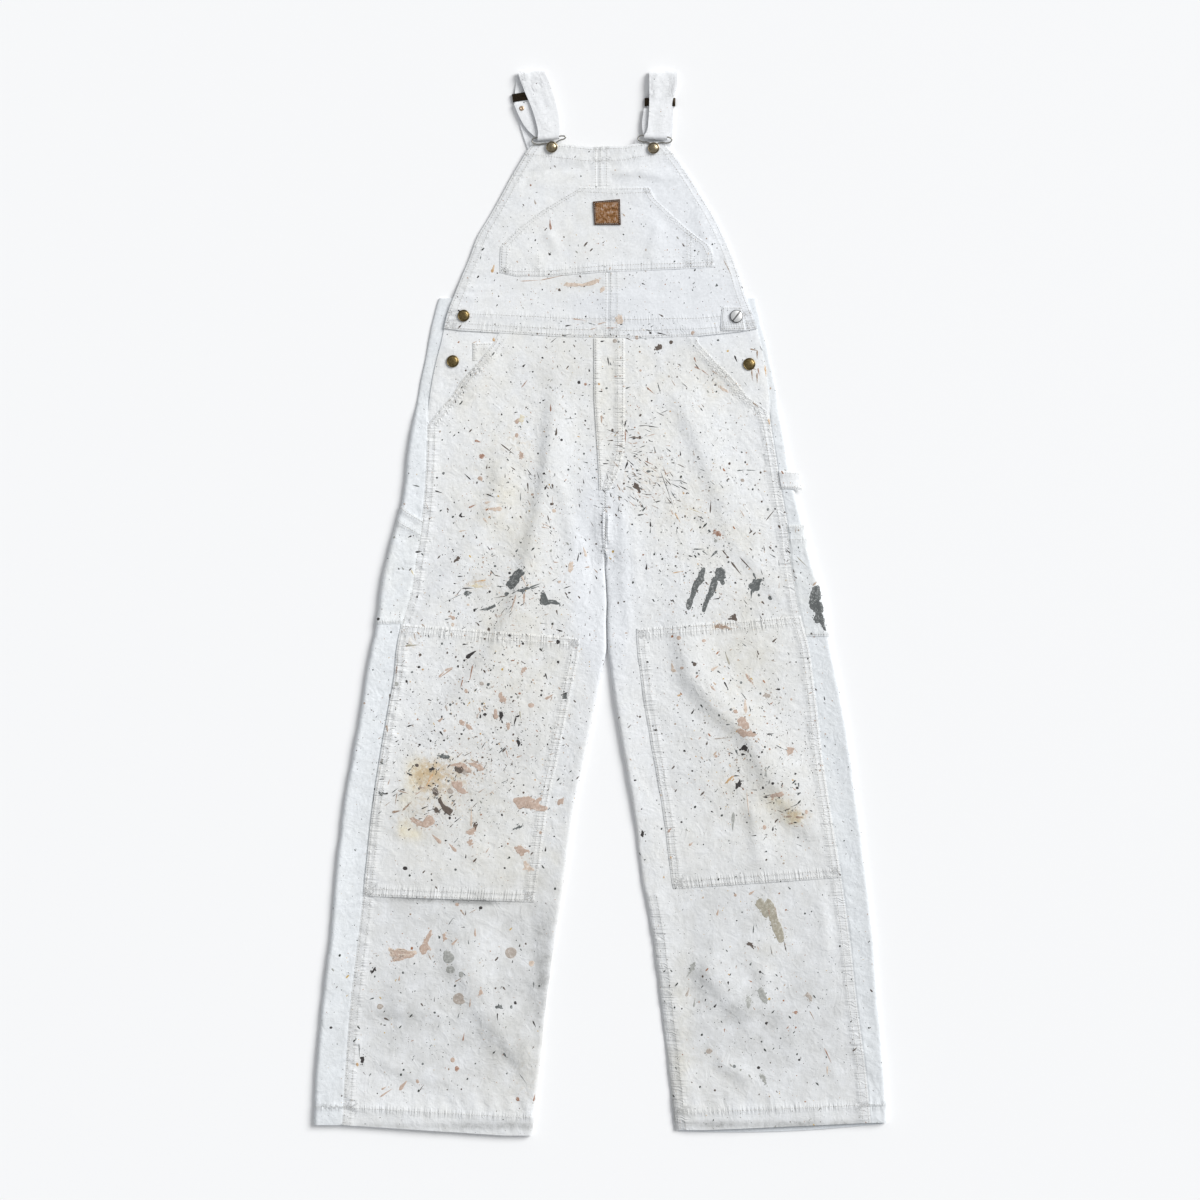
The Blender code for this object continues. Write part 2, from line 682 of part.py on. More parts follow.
def make_leather_patch():
    points = [LEATHER_PATCH[0], LEATHER_PATCH[1]], [LEATHER_PATCH[3], LEATHER_PATCH[2]]
    rows = [[(x, y, float(pocket_level(x, y)) + LEATHER_THICK + GAP) for x, y in row] for row in points]
    cloth("leather_patch", np.array(rows), LEATHER, LEATHER_THICK)


# ---------------------------------------------------------------- straps and metal

def make_strap(side):
    """One length of webbing, a section for each row of its table."""
    rows = STRAPS[side]
    centres = np.stack((rows["x"], rows["y"], rows["z"]), axis=1)
    run = np.gradient(centres, axis=0)
    turn = np.radians(rows["turn"])
    width = np.stack((np.cos(turn), np.sin(turn), 0 * turn), axis=1) * rows["width"][:, None] / 2
    through = np.cross(run, width)
    through *= WEBBING / 2 / np.linalg.norm(through, axis=1, keepdims=True)
    bm = bmesh.new()
    rings = []
    for centre, across, up in zip(centres, width, through):
        corners = (centre - across - up, centre + across - up, centre + across + up, centre - across + up)
        rings.append([bm.verts.new(corner * MM) for corner in corners])
    for low, high in zip(rings, rings[1:]):
        for i in range(4):
            j = (i + 1) % 4
            bm.faces.new((low[i], low[j], high[j], high[i]))
    bm.faces.new(rings[0])
    bm.faces.new(rings[-1])
    object_from_bmesh("strap_" + side, bm, STRAP_CLOTH, smooth=False)


def make_slide(side):
    """Flat metal sleeve that the strap runs through and its end is riveted to."""
    x, y, turn = SLIDES[side]
    width, length, height = SLIDE_SIZE
    bm = bmesh.new()
    loops = []
    for inset in (0.0, SLIDE_WALL):
        half, low, high = width / 2 - inset, inset, height - inset
        corners = ((-half, low), (half, low), (half, high), (-half, high))
        for end in (-length / 2, length / 2):
            loops.append([bm.verts.new((cx * MM, end * MM, cz * MM)) for cx, cz in corners])
    near, far, near_in, far_in = loops
    for i in range(4):
        j = (i + 1) % 4
        bm.faces.new((near[i], near[j], far[j], far[i]))
        bm.faces.new((near_in[i], far_in[i], far_in[j], near_in[j]))
        bm.faces.new((near[i], near_in[i], near_in[j], near[j]))
        bm.faces.new((far[i], far[j], far_in[j], far_in[i]))
    made = object_from_bmesh("strap_slide_" + side, bm, DARK_METAL, smooth=False)
    made.location = (x * MM, y * MM, GAP * MM)
    made.rotation_euler[2] = math.radians(turn)


def make_rivet(side):
    profile = ((0, 0), (RIVET_RADIUS, 0), (RIVET_RADIUS, 0.5), (RIVET_RADIUS * 0.6, 1.0), (0, 1.1))
    turned("strap_rivet_" + side, profile, COPPER, RIVETS[side], segments=12)


def make_buckle(side):
    """Wire buckle: one closed wire, its bar through the strap's turn and its eye round the button's shank."""
    shape = BUCKLES[side]
    x, y = shape["button"]
    eye = [(x + SHANK_TURN * math.cos(a), y + SHANK_TURN * math.sin(a))
           for a in np.radians(np.linspace(50, -230, 10))]
    route = [*shape["before"], *eye, *shape["after"]]
    curve = bpy.data.curves.new("hook_buckle_" + side, "CURVE")
    curve.dimensions = "3D"
    curve.bevel_depth = WIRE * MM
    curve.bevel_resolution = 1
    spline = curve.splines.new("POLY")
    spline.points.add(len(route) - 1)
    for point, (px, py) in zip(spline.points, route):
        point.co = (px * MM, py * MM, WIRE_LEVEL * MM, 1.0)
    spline.use_cyclic_u = True
    add_object("hook_buckle_" + side, curve, STEEL)


def make_bib_button(side):
    x, y = BUCKLES[side]["button"]
    seat = float(bib_level(x, y)) + GAP
    head = WIRE_LEVEL + WIRE + GAP - seat
    profile = ((0, 0), (3.0, 0), (3.0, head), (7.0, head), (7.5, head + 0.8), (6.4, head + 2.2),
               (3.4, head + 3.3), (0, head + 3.7))
    turned("bib_button_" + side, profile, BRASS, (x, y, seat))


def make_side_button(name):
    x, y, radius = SIDE_BUTTONS[name]
    if "upper" in name:
        seat = float(bib_level(x, y)) + GAP
    else:
        side = "left" if x < 0 else "right"
        seat = float(front_level(side, x, y)) - LAP + GAP
    profile = ((0, 0), (3.0, 0), (3.0, 0.8), (radius - 0.6, 0.8), (radius, 1.5), (radius * 0.86, 2.6),
               (radius * 0.5, 3.3), (0, 3.5))
    turned(name, profile, BRASS, (x, y, seat))


def make_screw_button():
    """Flat slotted screw stud that stands in for a lost button, on its stitched patch."""
    x, y, radius = SCREW_BUTTON
    seat = float(bib_level(x, y)) + LAP + 2 * GAP
    width, depth, turn = SCREW_SLOT
    profile = ((0, 0), (3.0, 0), (3.0, 0.8), (radius, 0.8), (radius, 2.0), (radius * 0.9, 2.8), (0, 2.8))
    made = turned("screw_button_right", profile, STEEL, (x, y, seat), segments=24)
    bm = bmesh.new()
    bmesh.ops.create_cube(bm, size=1.0)
    bmesh.ops.scale(bm, verts=bm.verts, vec=(3 * radius * MM, width * MM, 2 * depth * MM))
    mesh = bpy.data.meshes.new("screw_slot_cutter")
    bm.to_mesh(mesh)
    bm.free()
    cutter = bpy.data.objects.new("screw_slot_cutter", mesh)
    cutter.location = (x * MM, y * MM, (seat + 2.8) * MM)
    cutter.rotation_euler[2] = math.radians(turn)
    cutter.hide_render = True
    cutter.display_type = "WIRE"
    cutter.parent = bpy.data.objects[GARMENT]
    bpy.context.scene.collection.objects.link(cutter)
    cut = made.modifiers.new("Slot", "BOOLEAN")
    cut.operation = "DIFFERENCE"
    cut.object = cutter


# ---------------------------------------------------------------- the garment

def main():
    for old in list(bpy.data.objects):
        bpy.data.objects.remove(old, do_unlink=True)
    garment = bpy.data.objects.new(GARMENT, None)
    garment.location = (CENTRE[0] * MM, CENTRE[1] * MM, 0)
    bpy.context.scene.collection.objects.link(garment)
    for side in ("left", "right"):
        make_leg(side)
        make_facing(side)
        make_bib(side)
        make_strap(side)
        make_slide(side)
        make_rivet(side)
        make_buckle(side)
        make_bib_button(side)
    make_hammer_loop()
    make_back_upper()
    quarters = (0.0, 0.25, 0.5, 0.75, 1.0)
    panel_on("fly", FLY, fly_level, CANVAS_WARM, (0.0, 0.37, 0.7, 1.0))
    panel_on("watch_pocket", WATCH_POCKET, facing_level, CANVAS, (0.0, 0.5, 1.0), thickness=1.0)
    eighths = tuple(np.linspace(0, 1, 9))
    panel_on("bib_pocket", BIB_POCKET, bib_level, CANVAS, eighths, foot=POCKET_FOOT)
    panel_on("button_patch", BUTTON_PATCH, bib_level, CANVAS, quarters)
    make_leather_patch()
    for name in SIDE_BUTTONS:
        make_side_button(name)
    make_screw_button()


main()
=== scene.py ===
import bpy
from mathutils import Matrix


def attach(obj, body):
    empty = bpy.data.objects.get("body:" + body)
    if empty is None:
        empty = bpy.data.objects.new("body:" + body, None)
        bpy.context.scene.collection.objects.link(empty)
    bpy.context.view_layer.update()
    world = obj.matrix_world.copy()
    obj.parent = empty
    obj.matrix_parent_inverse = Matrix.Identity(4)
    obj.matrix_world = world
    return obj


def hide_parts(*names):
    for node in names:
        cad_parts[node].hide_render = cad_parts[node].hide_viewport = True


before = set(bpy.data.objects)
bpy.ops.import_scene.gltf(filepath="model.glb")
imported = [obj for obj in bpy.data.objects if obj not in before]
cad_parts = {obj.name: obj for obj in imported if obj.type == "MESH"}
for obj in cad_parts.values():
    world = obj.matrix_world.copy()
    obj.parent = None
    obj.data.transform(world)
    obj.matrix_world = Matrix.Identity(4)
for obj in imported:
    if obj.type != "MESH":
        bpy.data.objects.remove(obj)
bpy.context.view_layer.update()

import math

import bmesh
import bpy
import numpy as np
from mathutils import Matrix, Vector
from mathutils.bvhtree import BVHTree
from mathutils.kdtree import KDTree

# ======== the leg backs
# Each leg's back is one length of bleached cotton canvas. It lies flat on the table, rolls round the
# leg's outer edge and is felled to the front at the side seam, which the wearer's fold has brought on top.
# Lengths are millimetres: +X to the viewer's right, +Y towards the straps, +Z up. Left is the viewer's.

MM = 0.001
CENTRE = (0.8, -1.4)  # from the garment's own middle to the middle of its bounding box
CLOTH = 1.0  # canvas wall
HEM = 2.2  # turned hem
GAP = 0.1  # clearance between sewn pieces
LAP = CLOTH + GAP  # how far a piece that lies on another stands above it
FELL = 4.0  # how far a felled seam's under layer reaches below the upper one
FOLD_DEPTH = 5.0  # how far a rolled leg edge reaches in from its outline
LEG_HEM = 26.0  # width of the hem at the ankle
SEAT_TOP = 397.0  # top of the back's side tabs
FRONT_TOP = 362.0  # the fronts end here, under the bib
CROTCH = 60.0  # above this level the two legs are one body
FEET = {"left": -676.0, "right": -673.0}  # where the legs end at their side seams
POCKET_MOUTH = (345.0, 232.0)  # levels between which the hip pocket's mouth is open
SIDES = ("left", "right")
SIGN = {"left": -1, "right": 1}
FAR = 60.0  # out of reach of every pucker

# A row for each level of a leg, waist to ankle:
# fold    the rolled outer edge
# side    the side seam, and above it the front's edge at the side opening
# pocket  how far in from it the hip pocket's slanted opening lies
# inner   the centre seam, then the leg's inner edge
LEG_COLUMNS = ("y", "fold", "side", "pocket", "inner")
LEFT_LEG = (
    (396, -211, -195, 70, 5), (362, -221, -203.5, 75, 5), (340, -225, -208, 69, 5), (315, -229, -214.5, 56, 5),
    (290, -234.5, -219.7, 38, 5), (268, -238.5, -223, 27, 5), (252, -241.5, -225, 15, 5), (232, -246, -226, 0, 5),
    (200, -251.5, -227, 0, 5), (165, -254.5, -228.5, 0, 5), (127, -260, -231.5, 0, 5), (91, -270, -236, 0, 4.5),
    (55, -279, -242.5, 0, 4), (20, -286.5, -247.5, 0, 6.3), (-24, -291.5, -259.5, 0, 6.3), (-60, -300, -266, 0, 6),
    (-90, -305.5, -268.5, 0, 0), (-130, -311, -275.5, 0, -7.5), (-190, -322, -286, 0, -19.5),
    (-270, -335.5, -298, 0, -36), (-350, -345, -306.5, 0, -47), (-430, -352, -315.5, 0, -59.5),
    (-520, -363, -326, 0, -72), (-610, -370.8, -333, 0, -81), (-690, -373.5, -337, 0, -89.5),
)
RIGHT_LEG = (
    (396, 201, 187, 60, 5), (362, 207.5, 200, 75, 5), (340, 214, 206, 81, 5), (315, 219.5, 211, 63, 5),
    (290, 225, 215, 42, 5), (268, 228.5, 217.5, 27, 5), (252, 231, 218.7, 5, 5), (232, 234.5, 220.4, 0, 5),
    (200, 240, 225.5, 0, 5), (165, 246, 231, 0, 5), (127, 256, 237.5, 0, 5), (91, 264, 243.8, 0, 5),
    (55, 272.5, 247.5, 0, 5), (20, 283.5, 253, 0, 7.5), (-24, 292, 261, 0, 8), (-60, 298, 270, 0, 8.5),
    (-90, 305, 274, 0, 12), (-130, 313, 279, 0, 17.7), (-190, 323, 285.7, 0, 28), (-270, 334, 297.6, 0, 42),
    (-350, 344, 310.6, 0, 52), (-430, 353, 321.8, 0, 66.5), (-520, 359.5, 332, 0, 77.5), (-610, 367.5, 343.6, 0, 88),
    (-690, 372.5, 351, 0, 97),
)
# How much lower a level lies at the inner edge than at the side seam, (y, dip)
LEFT_DIP = ((396, 6), (362, 6), (340, 0), (232, 0), (-24, 18), (-60, 18), (-180, 15), (-379, 8),
            (-520, 9), (-690, 14))
RIGHT_DIP = ((396, 12), (362, 12), (340, 0), (232, 0), (-15, 17), (-180, 16), (-355, 15),
             (-520, 12), (-690, 9.5))
# Above the side seam's top the back is tucked under the front: (y, how far under, how wide)
TUCK = ((396, 3.0, 13.0), (290, 3.0, 13.0), (268, 3.0, 0.0), (242, 0.0, 0.0), (-690, 0.0, 0.0))
# Level of the upper face over a leg's middle, its outer and its inner edge, (y, middle, outer, inner)
HEIGHTS = (
    (396, 6.4, 6.4, 6.4), (268, 6.4, 6.4, 6.4), (242, 6.4, 7, 6.4), (200, 6.4, 8, 6.4), (150, 6.4, 9, 6.4),
    (91, 6.4, 9, 5), (60, 6.4, 9, 3.4), (20, 6.4, 9, 4.5), (-24, 6.4, 9, 6.2), (-60, 6.4, 9, 7.5), (-130, 6.4, 9, 8),
    (-610, 6.4, 9, 8), (-650, 7.6, 9, 8.4), (-690, 7.6, 9, 8.4),
)
OUTER_ROLL = 30.0  # distance over which an edge's roundness sinks to the middle's level
INNER_ROLL = 45.0

# Folds that the cloth has kept: a line of points, how high it stands (a trough is below zero), and how
# wide its flank is on the line's left and on its right, looking along it
CREASES = {
    "left": (
        (((-51, 330), (-60, 291), (-63, 239), (-70, 174), (-83, 109), (-98, 45), (-118, -15), (-145, -66), (-182, -112),
          (-222, -165), (-250, -215)), 4.8, 28, 11),
        (((-124, 226), (-137, 137), (-162, 88), (-200, 38), (-245, -40), (-268, -110)), 2.4, 20, 11),
        (((-60, 176), (-47, 130), (-38, 90), (-36, 57)), 1.6, 8, 9),
        (((-15, 109), (-10, 60), (-8, 5)), -1.8, 8, 8),
        (((-215, -425), (-180, -472), (-160, -518), (-134, -556), (-100, -596), (-80, -625)), 4.8, 38, 17),
        (((-290, -520), (-225, -528), (-160, -540)), 2.2, 24, 12),
        (((-205, -411), (-145, -440), (-93, -500)), 1.6, 22, 16),
        (((-140, -560), (-122, -590), (-100, -622)), -1.0, 4, 5),
        (((-294, -541), (-262, -541)), -1.1, 6, 6),
        (((-300, -590), (-240, -612), (-180, -618)), 1.8, 18, 10),
        (((-93, -385), (-90, -440), (-87, -489)), -1.0, 5, 5),
    ),
    "right": (
        (((86, 300), (112, 246), (136, 190), (157, 135), (174, 85), (194, 44)), 3.2, 34, 15),
        (((180, 74), (214, 30), (247, -6)), 2.0, 20, 11),
        (((27, 150), (27, 80), (30, 10), (36, -45)), 2.0, 7, 7),
        (((42, 120), (42, 60), (46, 10)), 1.2, 6, 6),
        (((96, 10), (103, -40), (116, -90), (146, -130), (187, -163), (215, -215), (255, -275), (303, -327)),
         6.0, 32, 15),
        (((194, -255), (207, -350)), 2.8, 16, 9),
        (((121, -456), (161, -508), (207, -546)), 4.2, 28, 14),
        (((206, -463), (219, -541)), 1.6, 12, 10),
        (((146, -587), (199, -625)), 2.8, 14, 9),
        (((341, -569), (356, -582)), -1.2, 4, 4),
        (((342, -604), (364, -643)), -1.2, 4, 4),
        (((284, -372), (290, -420), (290, -463)), 1.6, 8, 8),
    ),
}


def through(rows, column, y):
    """A smooth curve down the rows of a table, read at y; the first column holds the rows' levels."""
    rows = np.array(rows, dtype=float)
    at = np.clip(-np.asarray(y, dtype=float), -rows[0, 0], -rows[-1, 0])
    steps, values = -rows[:, 0], rows[:, column]
    slopes = np.gradient(values, steps)
    i = np.clip(np.searchsorted(steps, at) - 1, 0, len(steps) - 2)
    length = steps[i + 1] - steps[i]
    s = (at - steps[i]) / length
    return (values[i] * (1 + 2 * s) * (1 - s) ** 2 + slopes[i] * length * s * (1 - s) ** 2
            + values[i + 1] * s * s * (3 - 2 * s) + slopes[i + 1] * length * s * s * (s - 1))


def straight(rows, column, y):
    """The same, read straight between the rows."""
    rows = np.array(rows, dtype=float)
    return np.interp(-np.asarray(y, dtype=float), -rows[:, 0], rows[:, column])


def leg_line(side, column, y):
    read = straight if column == "pocket" else through  # its lower end is a corner
    return read(LEFT_LEG if side == "left" else RIGHT_LEG, LEG_COLUMNS.index(column), y)


def part(value, low, high):
    """0 at low, 1 at high, straight between."""
    return np.clip((np.asarray(value, dtype=float) - low) / (high - low), 0, 1)


def ease(value, low, high):
    """0 at low, 1 at high, with a soft start and end."""
    share = part(value, low, high)
    return share * share * (3 - 2 * share)


def waver(along, length, seed):
    """Uneven swing along a line, from -1 to 1, with a turn about every length."""
    values = np.random.default_rng(seed).uniform(-1, 1, 512)
    place = np.asarray(along, dtype=float) / length
    i = np.floor(place).astype(int)
    s = place - i
    s = s * s * (3 - 2 * s)
    return values[i % 512] * (1 - s) + values[(i + 1) % 512] * s


def rumple(x, y, length, seed):
    """Uneven rise and fall over the cloth, from -1 to 1."""
    values = np.random.default_rng(seed).uniform(-1, 1, (256, 256))
    px, py = np.asarray(x, dtype=float) / length, np.asarray(y, dtype=float) / length
    i, j = np.floor(px).astype(int), np.floor(py).astype(int)
    s, t = px - i, py - j
    s, t = s * s * (3 - 2 * s), t * t * (3 - 2 * t)
    low = values[i % 256, j % 256] * (1 - s) + values[(i + 1) % 256, j % 256] * s
    high = values[i % 256, (j + 1) % 256] * (1 - s) + values[(i + 1) % 256, (j + 1) % 256] * s
    return low * (1 - t) + high * t


def beside(x, y, line):
    """Distance from a line of points, the side it is on (1 is left, looking along) and the share along."""
    best = np.full(np.broadcast(x, y).shape, 1e9)
    hand, share = np.ones_like(best), np.zeros_like(best)
    lengths = [math.dist(a, b) for a, b in zip(line, line[1:])]
    done = 0.0
    for (x0, y0), (x1, y1), length in zip(line, line[1:], lengths):
        dx, dy = (x1 - x0) / length, (y1 - y0) / length
        along = np.clip((x - x0) * dx + (y - y0) * dy, 0, length)
        away = np.hypot(x - x0 - along * dx, y - y0 - along * dy)
        nearer = away < best
        best = np.where(nearer, away, best)
        hand = np.where(nearer, np.sign(dx * (y - y0) - dy * (x - x0)), hand)
        share = np.where(nearer, (done + along) / sum(lengths), share)
        done += length
    return best, hand, share


def creased(x, y, creases):
    """Height that a set of folds adds."""
    total = np.zeros(np.broadcast(x, y).shape)
    for line, rise, left, right in creases:
        reach = 2.6 * max(left, right)
        xs, ys = zip(*line)
        near = ((x > min(xs) - reach) & (x < max(xs) + reach) & (y > min(ys) - reach) & (y < max(ys) + reach))
        if not near.any():
            continue
        away, hand, share = beside(x[near], y[near], line)
        width = np.where(hand > 0, left, right)
        ends = ease(share, 0.0, 0.22) * ease(1 - share, 0.0, 0.22)
        total[near] += rise * ends * np.exp(-((away / width) ** 2)) * (1 + 0.25 * waver(share * 90, 17, 5))
    return total


def puckers(away, along, seed, reach=9.0, pitch=6.5, rise=0.55):
    """Small ripples that a tight seam draws up across itself."""
    swing = waver(along + 0.35 * away, pitch, seed) + 0.6 * waver(along, pitch * 0.55, seed + 1)
    return rise * np.exp(-((away / reach) ** 2)) * swing


def front_level(side, x, y):
    """Height of the upper face over the front and the outer strip of a leg."""
    x, y = np.broadcast_arrays(x, y)
    from_outer = np.abs(x - leg_line(side, "fold", y)) - FOLD_DEPTH
    from_inner = np.abs(x - leg_line(side, "inner", y)) - FOLD_DEPTH * ease(-y, -CROTCH - 8, -CROTCH + 8)
    middle = through(HEIGHTS, 1, y)
    outer_rise = (0.75 if side == "left" else 0.45) * (through(HEIGHTS, 2, y) - middle)
    level = middle + outer_rise * (1 - np.clip(from_outer / OUTER_ROLL, 0, 1)) ** 2
    level += (through(HEIGHTS, 3, y) - middle) * (1 - np.clip(from_inner / INNER_ROLL, 0, 1)) ** 2
    fade = np.clip(from_outer / 22, 0, 1) * np.clip(from_inner / 14, 0.15, 1)
    level += fade * creased(x, y, CREASES[side])
    level += 0.9 * fade * rumple(x, y, 62, 3) + 0.5 * rumple(x + 0.4 * y, y, 27, 8)
    level += 0.22 * rumple(x, y, 11, 9)
    if side == "right":  # its inner edge has slumped, and is drawn up along its seam
        level -= (2.4 + 1.2 * ease(-y, 450, 600)) * ease(-y, 200, 330) * (1 - ease(from_inner, -2, 17))
        level += ease(-y, 330, 400) * puckers(from_inner - 4, y, 37, reach=8, pitch=7, rise=0.8)
    seam = np.abs(x - leg_line(side, "side", y))
    seam = np.where(y < POCKET_MOUTH[1] + 4, seam, FAR)
    level += puckers(seam - 7, y + 0.3 * seam, 21, reach=9, pitch=7, rise=0.9 if side == "left" else 0.3)
    above_hem = y - FEET["left"] - LEG_HEM
    level += 0.55 * ease(-above_hem, -1.5, 1.5)  # the hem is doubled cloth
    return level + puckers(above_hem, x, 31, reach=14, pitch=9, rise=0.85)


def laid(form, u, v):
    """The points that a form gives, one to a row."""
    return np.stack(np.broadcast_arrays(*form(u, v)), axis=1)


def run_along(points):
    """How far along a line of points each of them lies."""
    return np.concatenate(([0], np.cumsum(np.linalg.norm(np.diff(points, axis=0), axis=1))))


def points_of(mesh):
    """A mesh's points as they stand, one to a row."""
    places = np.empty(len(mesh.vertices) * 3)
    mesh.vertices.foreach_get("co", places)
    return places.reshape(-1, 3)


def note(piece, name, values):
    """Writes a value to each point of a piece, for its material to read."""
    layer = piece.data.attributes.get(name) or piece.data.attributes.new(name, "FLOAT", "POINT")
    layer.data.foreach_set("value", np.ascontiguousarray(values, dtype=np.float32))


def meshed(name, bm):
    mesh = bpy.data.meshes.new(name)
    bm.to_mesh(mesh)
    bm.free()
    return mesh


def linked(name, data):
    made = bpy.data.objects.new(name, data)
    bpy.context.scene.collection.objects.link(made)
    return made


def shown(mesh, finish, node=None):
    """Puts a mesh on the garment's one body, in its finish, and for a CAD node if it stands for one."""
    piece = linked(mesh.name, mesh)
    mesh.materials.append(finish)
    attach(piece, "root")
    if node:
        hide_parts(node)
    return piece


def from_edges(rows):
    """How far each point of a piece lies from the nearest of its four edges."""
    across = np.cumsum(np.linalg.norm(np.diff(rows, axis=1, prepend=rows[:, :1]), axis=2), axis=1)
    along = np.cumsum(np.linalg.norm(np.diff(rows, axis=0, prepend=rows[:1]), axis=2), axis=0)
    return np.minimum(np.minimum(across, across[:, -1:] - across), np.minimum(along, along[-1:] - along))


cloth_pieces = []
PRESSED = 0.45  # how much thinner a sewn edge has been pressed, where it is not said
PRESSED_WIDTH = 4.0


def cloth(name, node, across, along, form, thickness=CLOTH, hems=None, up=True, slot="canvas", dirt=1.0,
          cream=0.2, flattened=PRESSED):
    """A piece of canvas: a grid that form lays out from its places across and along, with a wall behind."""
    bm = bmesh.new()
    bmesh.ops.create_grid(bm, x_segments=across, y_segments=along, size=0.5)
    for edge in bm.edges:
        edge.smooth = not edge.is_boundary
    mesh = meshed(name, bm)
    grid = points_of(mesh)
    points = laid(form, grid[:, 0] + 0.5, 0.5 - grid[:, 1])
    rows = points.reshape(along + 1, across + 1, 3)
    pressed = (flattened if thickness == CLOTH else 0.0) * (1 - ease(from_edges(rows), 0, PRESSED_WIDTH)).ravel()
    pressed = pressed * ease(points[:, 2], 3.0, 4.0)
    points[:, 2] -= pressed
    mesh.vertices.foreach_set("co", ((points + (*CENTRE, 0.0)) * MM).ravel())
    mesh.update()
    facing = np.empty(len(mesh.polygons) * 3)
    mesh.polygons.foreach_get("normal", facing)
    if (facing[2::3].sum() < 0) == up:
        mesh.flip_normals()
    mesh.shade_smooth()
    piece = shown(mesh, FINISHES[slot], node)
    wall = piece.modifiers.new("Wall", "SOLIDIFY")
    wall.thickness, wall.offset, wall.vertex_group = HEM * MM, -1, "wall"
    walls = thickness - 0.9 * pressed
    if hems is not None:  # doubled cloth where the edge is turned and stitched
        walls = np.where(hems(points[:, 0], points[:, 1]), HEM, walls)
    shares = np.round(walls / HEM, 2)
    group = piece.vertex_groups.new(name="wall")
    for share in np.unique(shares):
        group.add(np.flatnonzero(shares == share).tolist(), float(share), "REPLACE")
    worn(piece, points, dirt, cream)
    cloth_pieces.append(piece)
    return piece


def lifted(form, rise):
    """The same form moved out along its own normals."""
    step = 0.002

    def out(u, v):
        here = laid(form, u, v)
        across = laid(form, np.clip(u + step, 0, 1), v) - laid(form, np.clip(u - step, 0, 1), v)
        along = laid(form, u, np.clip(v - step, 0, 1)) - laid(form, u, np.clip(v + step, 0, 1))
        normal = np.cross(across, along)
        normal /= np.linalg.norm(normal, axis=1, keepdims=True) + 1e-12
        return (here + normal * np.sign(normal[:, 2].sum()) * rise).T

    return out


# Where the cloth has taken up dirt, has gone creamy, and was spattered: x, y, reach across, reach along, how much. The
# first table also holds painted shade: thin dark bands along the hems' lower edges and just under the left knee patch's
# lower edge
SOIL_AND_PAINTED_SHADE = (
    (-130, 80, 70, 160, 0.35), (-110, -80, 80, 90, 0.3), (-205, -262, 90, 66, 0.52), (-120, -200, 70, 60, 0.2),
    (122, 20, 60, 110, 0.17), (190, -80, 70, 110, 0.35), (215, -270, 80, 60, 0.4), (124, -190, 50, 70, 0.24),
    (0, 240, 60, 90, 0.25), (0, 380, 130, 26, 0.18), (74, 384, 60, 26, 0.12), (-20, 470, 60, 50, 0.1),
    (165, 290, 45, 40, 0.2), (-56, 310, 60, 32, 0.3), (90, 315, 80, 30, 0.12), (-15, 415, 120, 14, 0.25),
    (-200, -520, 130, 110, 0.55), (-110, -590, 60, 70, 0.5), (126, -450, 34, 60, 0.3), (150, -540, 120, 120, 0.6),
    (270, -560, 90, 110, 0.35), (-75, -450, 35, 90, 0.4), (-190, -390, 120, 40, 0.4), (190, -370, 110, 40, 0.35),
    # painted shadow: the two thin bands at y -677 at this line's end, and the bands at -675 and -665 on the next line,
    # darken the hems' lower edges and the right leg's inner hem corner
    (0, 130, 60, 40, 0.15), (-350, -560, 22, 110, 0.6), (-140, -677, 75, 5, 1.6), (-260, -677, 60, 4, 0.8),
    (150, -675, 50, 4, 1.0), (260, -675, 100, 5, 1.5), (93, -665, 8, 40, 1.2), (-75, -480, 10, 70, 0.4),
    # painted shadow: the thin bands from y -383.5 to -388, on this line and the next, lie just under the left knee
    # patch's lower edge
    (-260, -560, 60, 60, 0.25), (-85, -400, 24, 80, 0.35), (-262, -383.5, 30, 2.6, 0.9), (-222, -385, 26, 2.6, 1.7),
    (-184, -386.5, 26, 2.6, 2.2), (-142, -388, 26, 2.6, 1.6), (-192, 262, 9, 12, 0.7), (-178, 284, 9, 12, 0.8),
    (-164, 304, 9, 12, 0.7), (-150, 322, 9, 12, 0.4),
)
WARMTH = (
    (-119, 70, 50, 170, 0.6), (-110, -90, 75, 85, 0.55), (-150, 160, 60, 60, 0.25), (128, 109, 60, 60, 0.55),
    (186, -60, 50, 120, 0.65), (60, 190, 45, 60, 0.5), (-180, 280, 50, 50, 0.4), (150, 295, 60, 40, 0.45),
    (0, 290, 90, 70, 0.35), (-60, 330, 120, 30, 0.3), (-190, -250, 90, 60, 0.6), (230, -260, 60, 60, 0.55),
    (170, -230, 60, 90, 0.15), (-170, -330, 110, 60, 0.25), (-110, -340, 60, 60, 0.4), (-180, -530, 130, 130, 0.14),
    (-110, -600, 35, 50, 0.6), (-20, 415, 70, 10, 0.4), (-60, 470, 70, 60, 0.2), (100, -330, 70, 50, 0.2),
    (-75, 570, 90, 30, 0.15), (215, -440, 20, 50, 0.3), (130, -620, 60, 40, 0.25), (-242, -226, 14, 22, 2.4),
    (-256, -257, 9, 10, 1.8), (-256, -290, 8, 13, 2.6), (-243, -299, 9, 8, 1.6), (228, -258, 17, 11, 1.8),
    (250, -278, 11, 9, 2.6), (105, -545, 14, 90, 0.8),
)
SPATTERED = (
    (-110, 30, 80, 170, 0.62), (-170, -180, 90, 110, 0.7), (130, 60, 90, 150, 0.52), (170, -200, 90, 110, 0.6),
    (0, 300, 200, 90, 0.25), (-200, -520, 120, 120, 0.3), (200, -520, 120, 130, 0.3), (-40, 430, 140, 60, 0.15),
    (110, 440, 60, 60, 0.18),
)
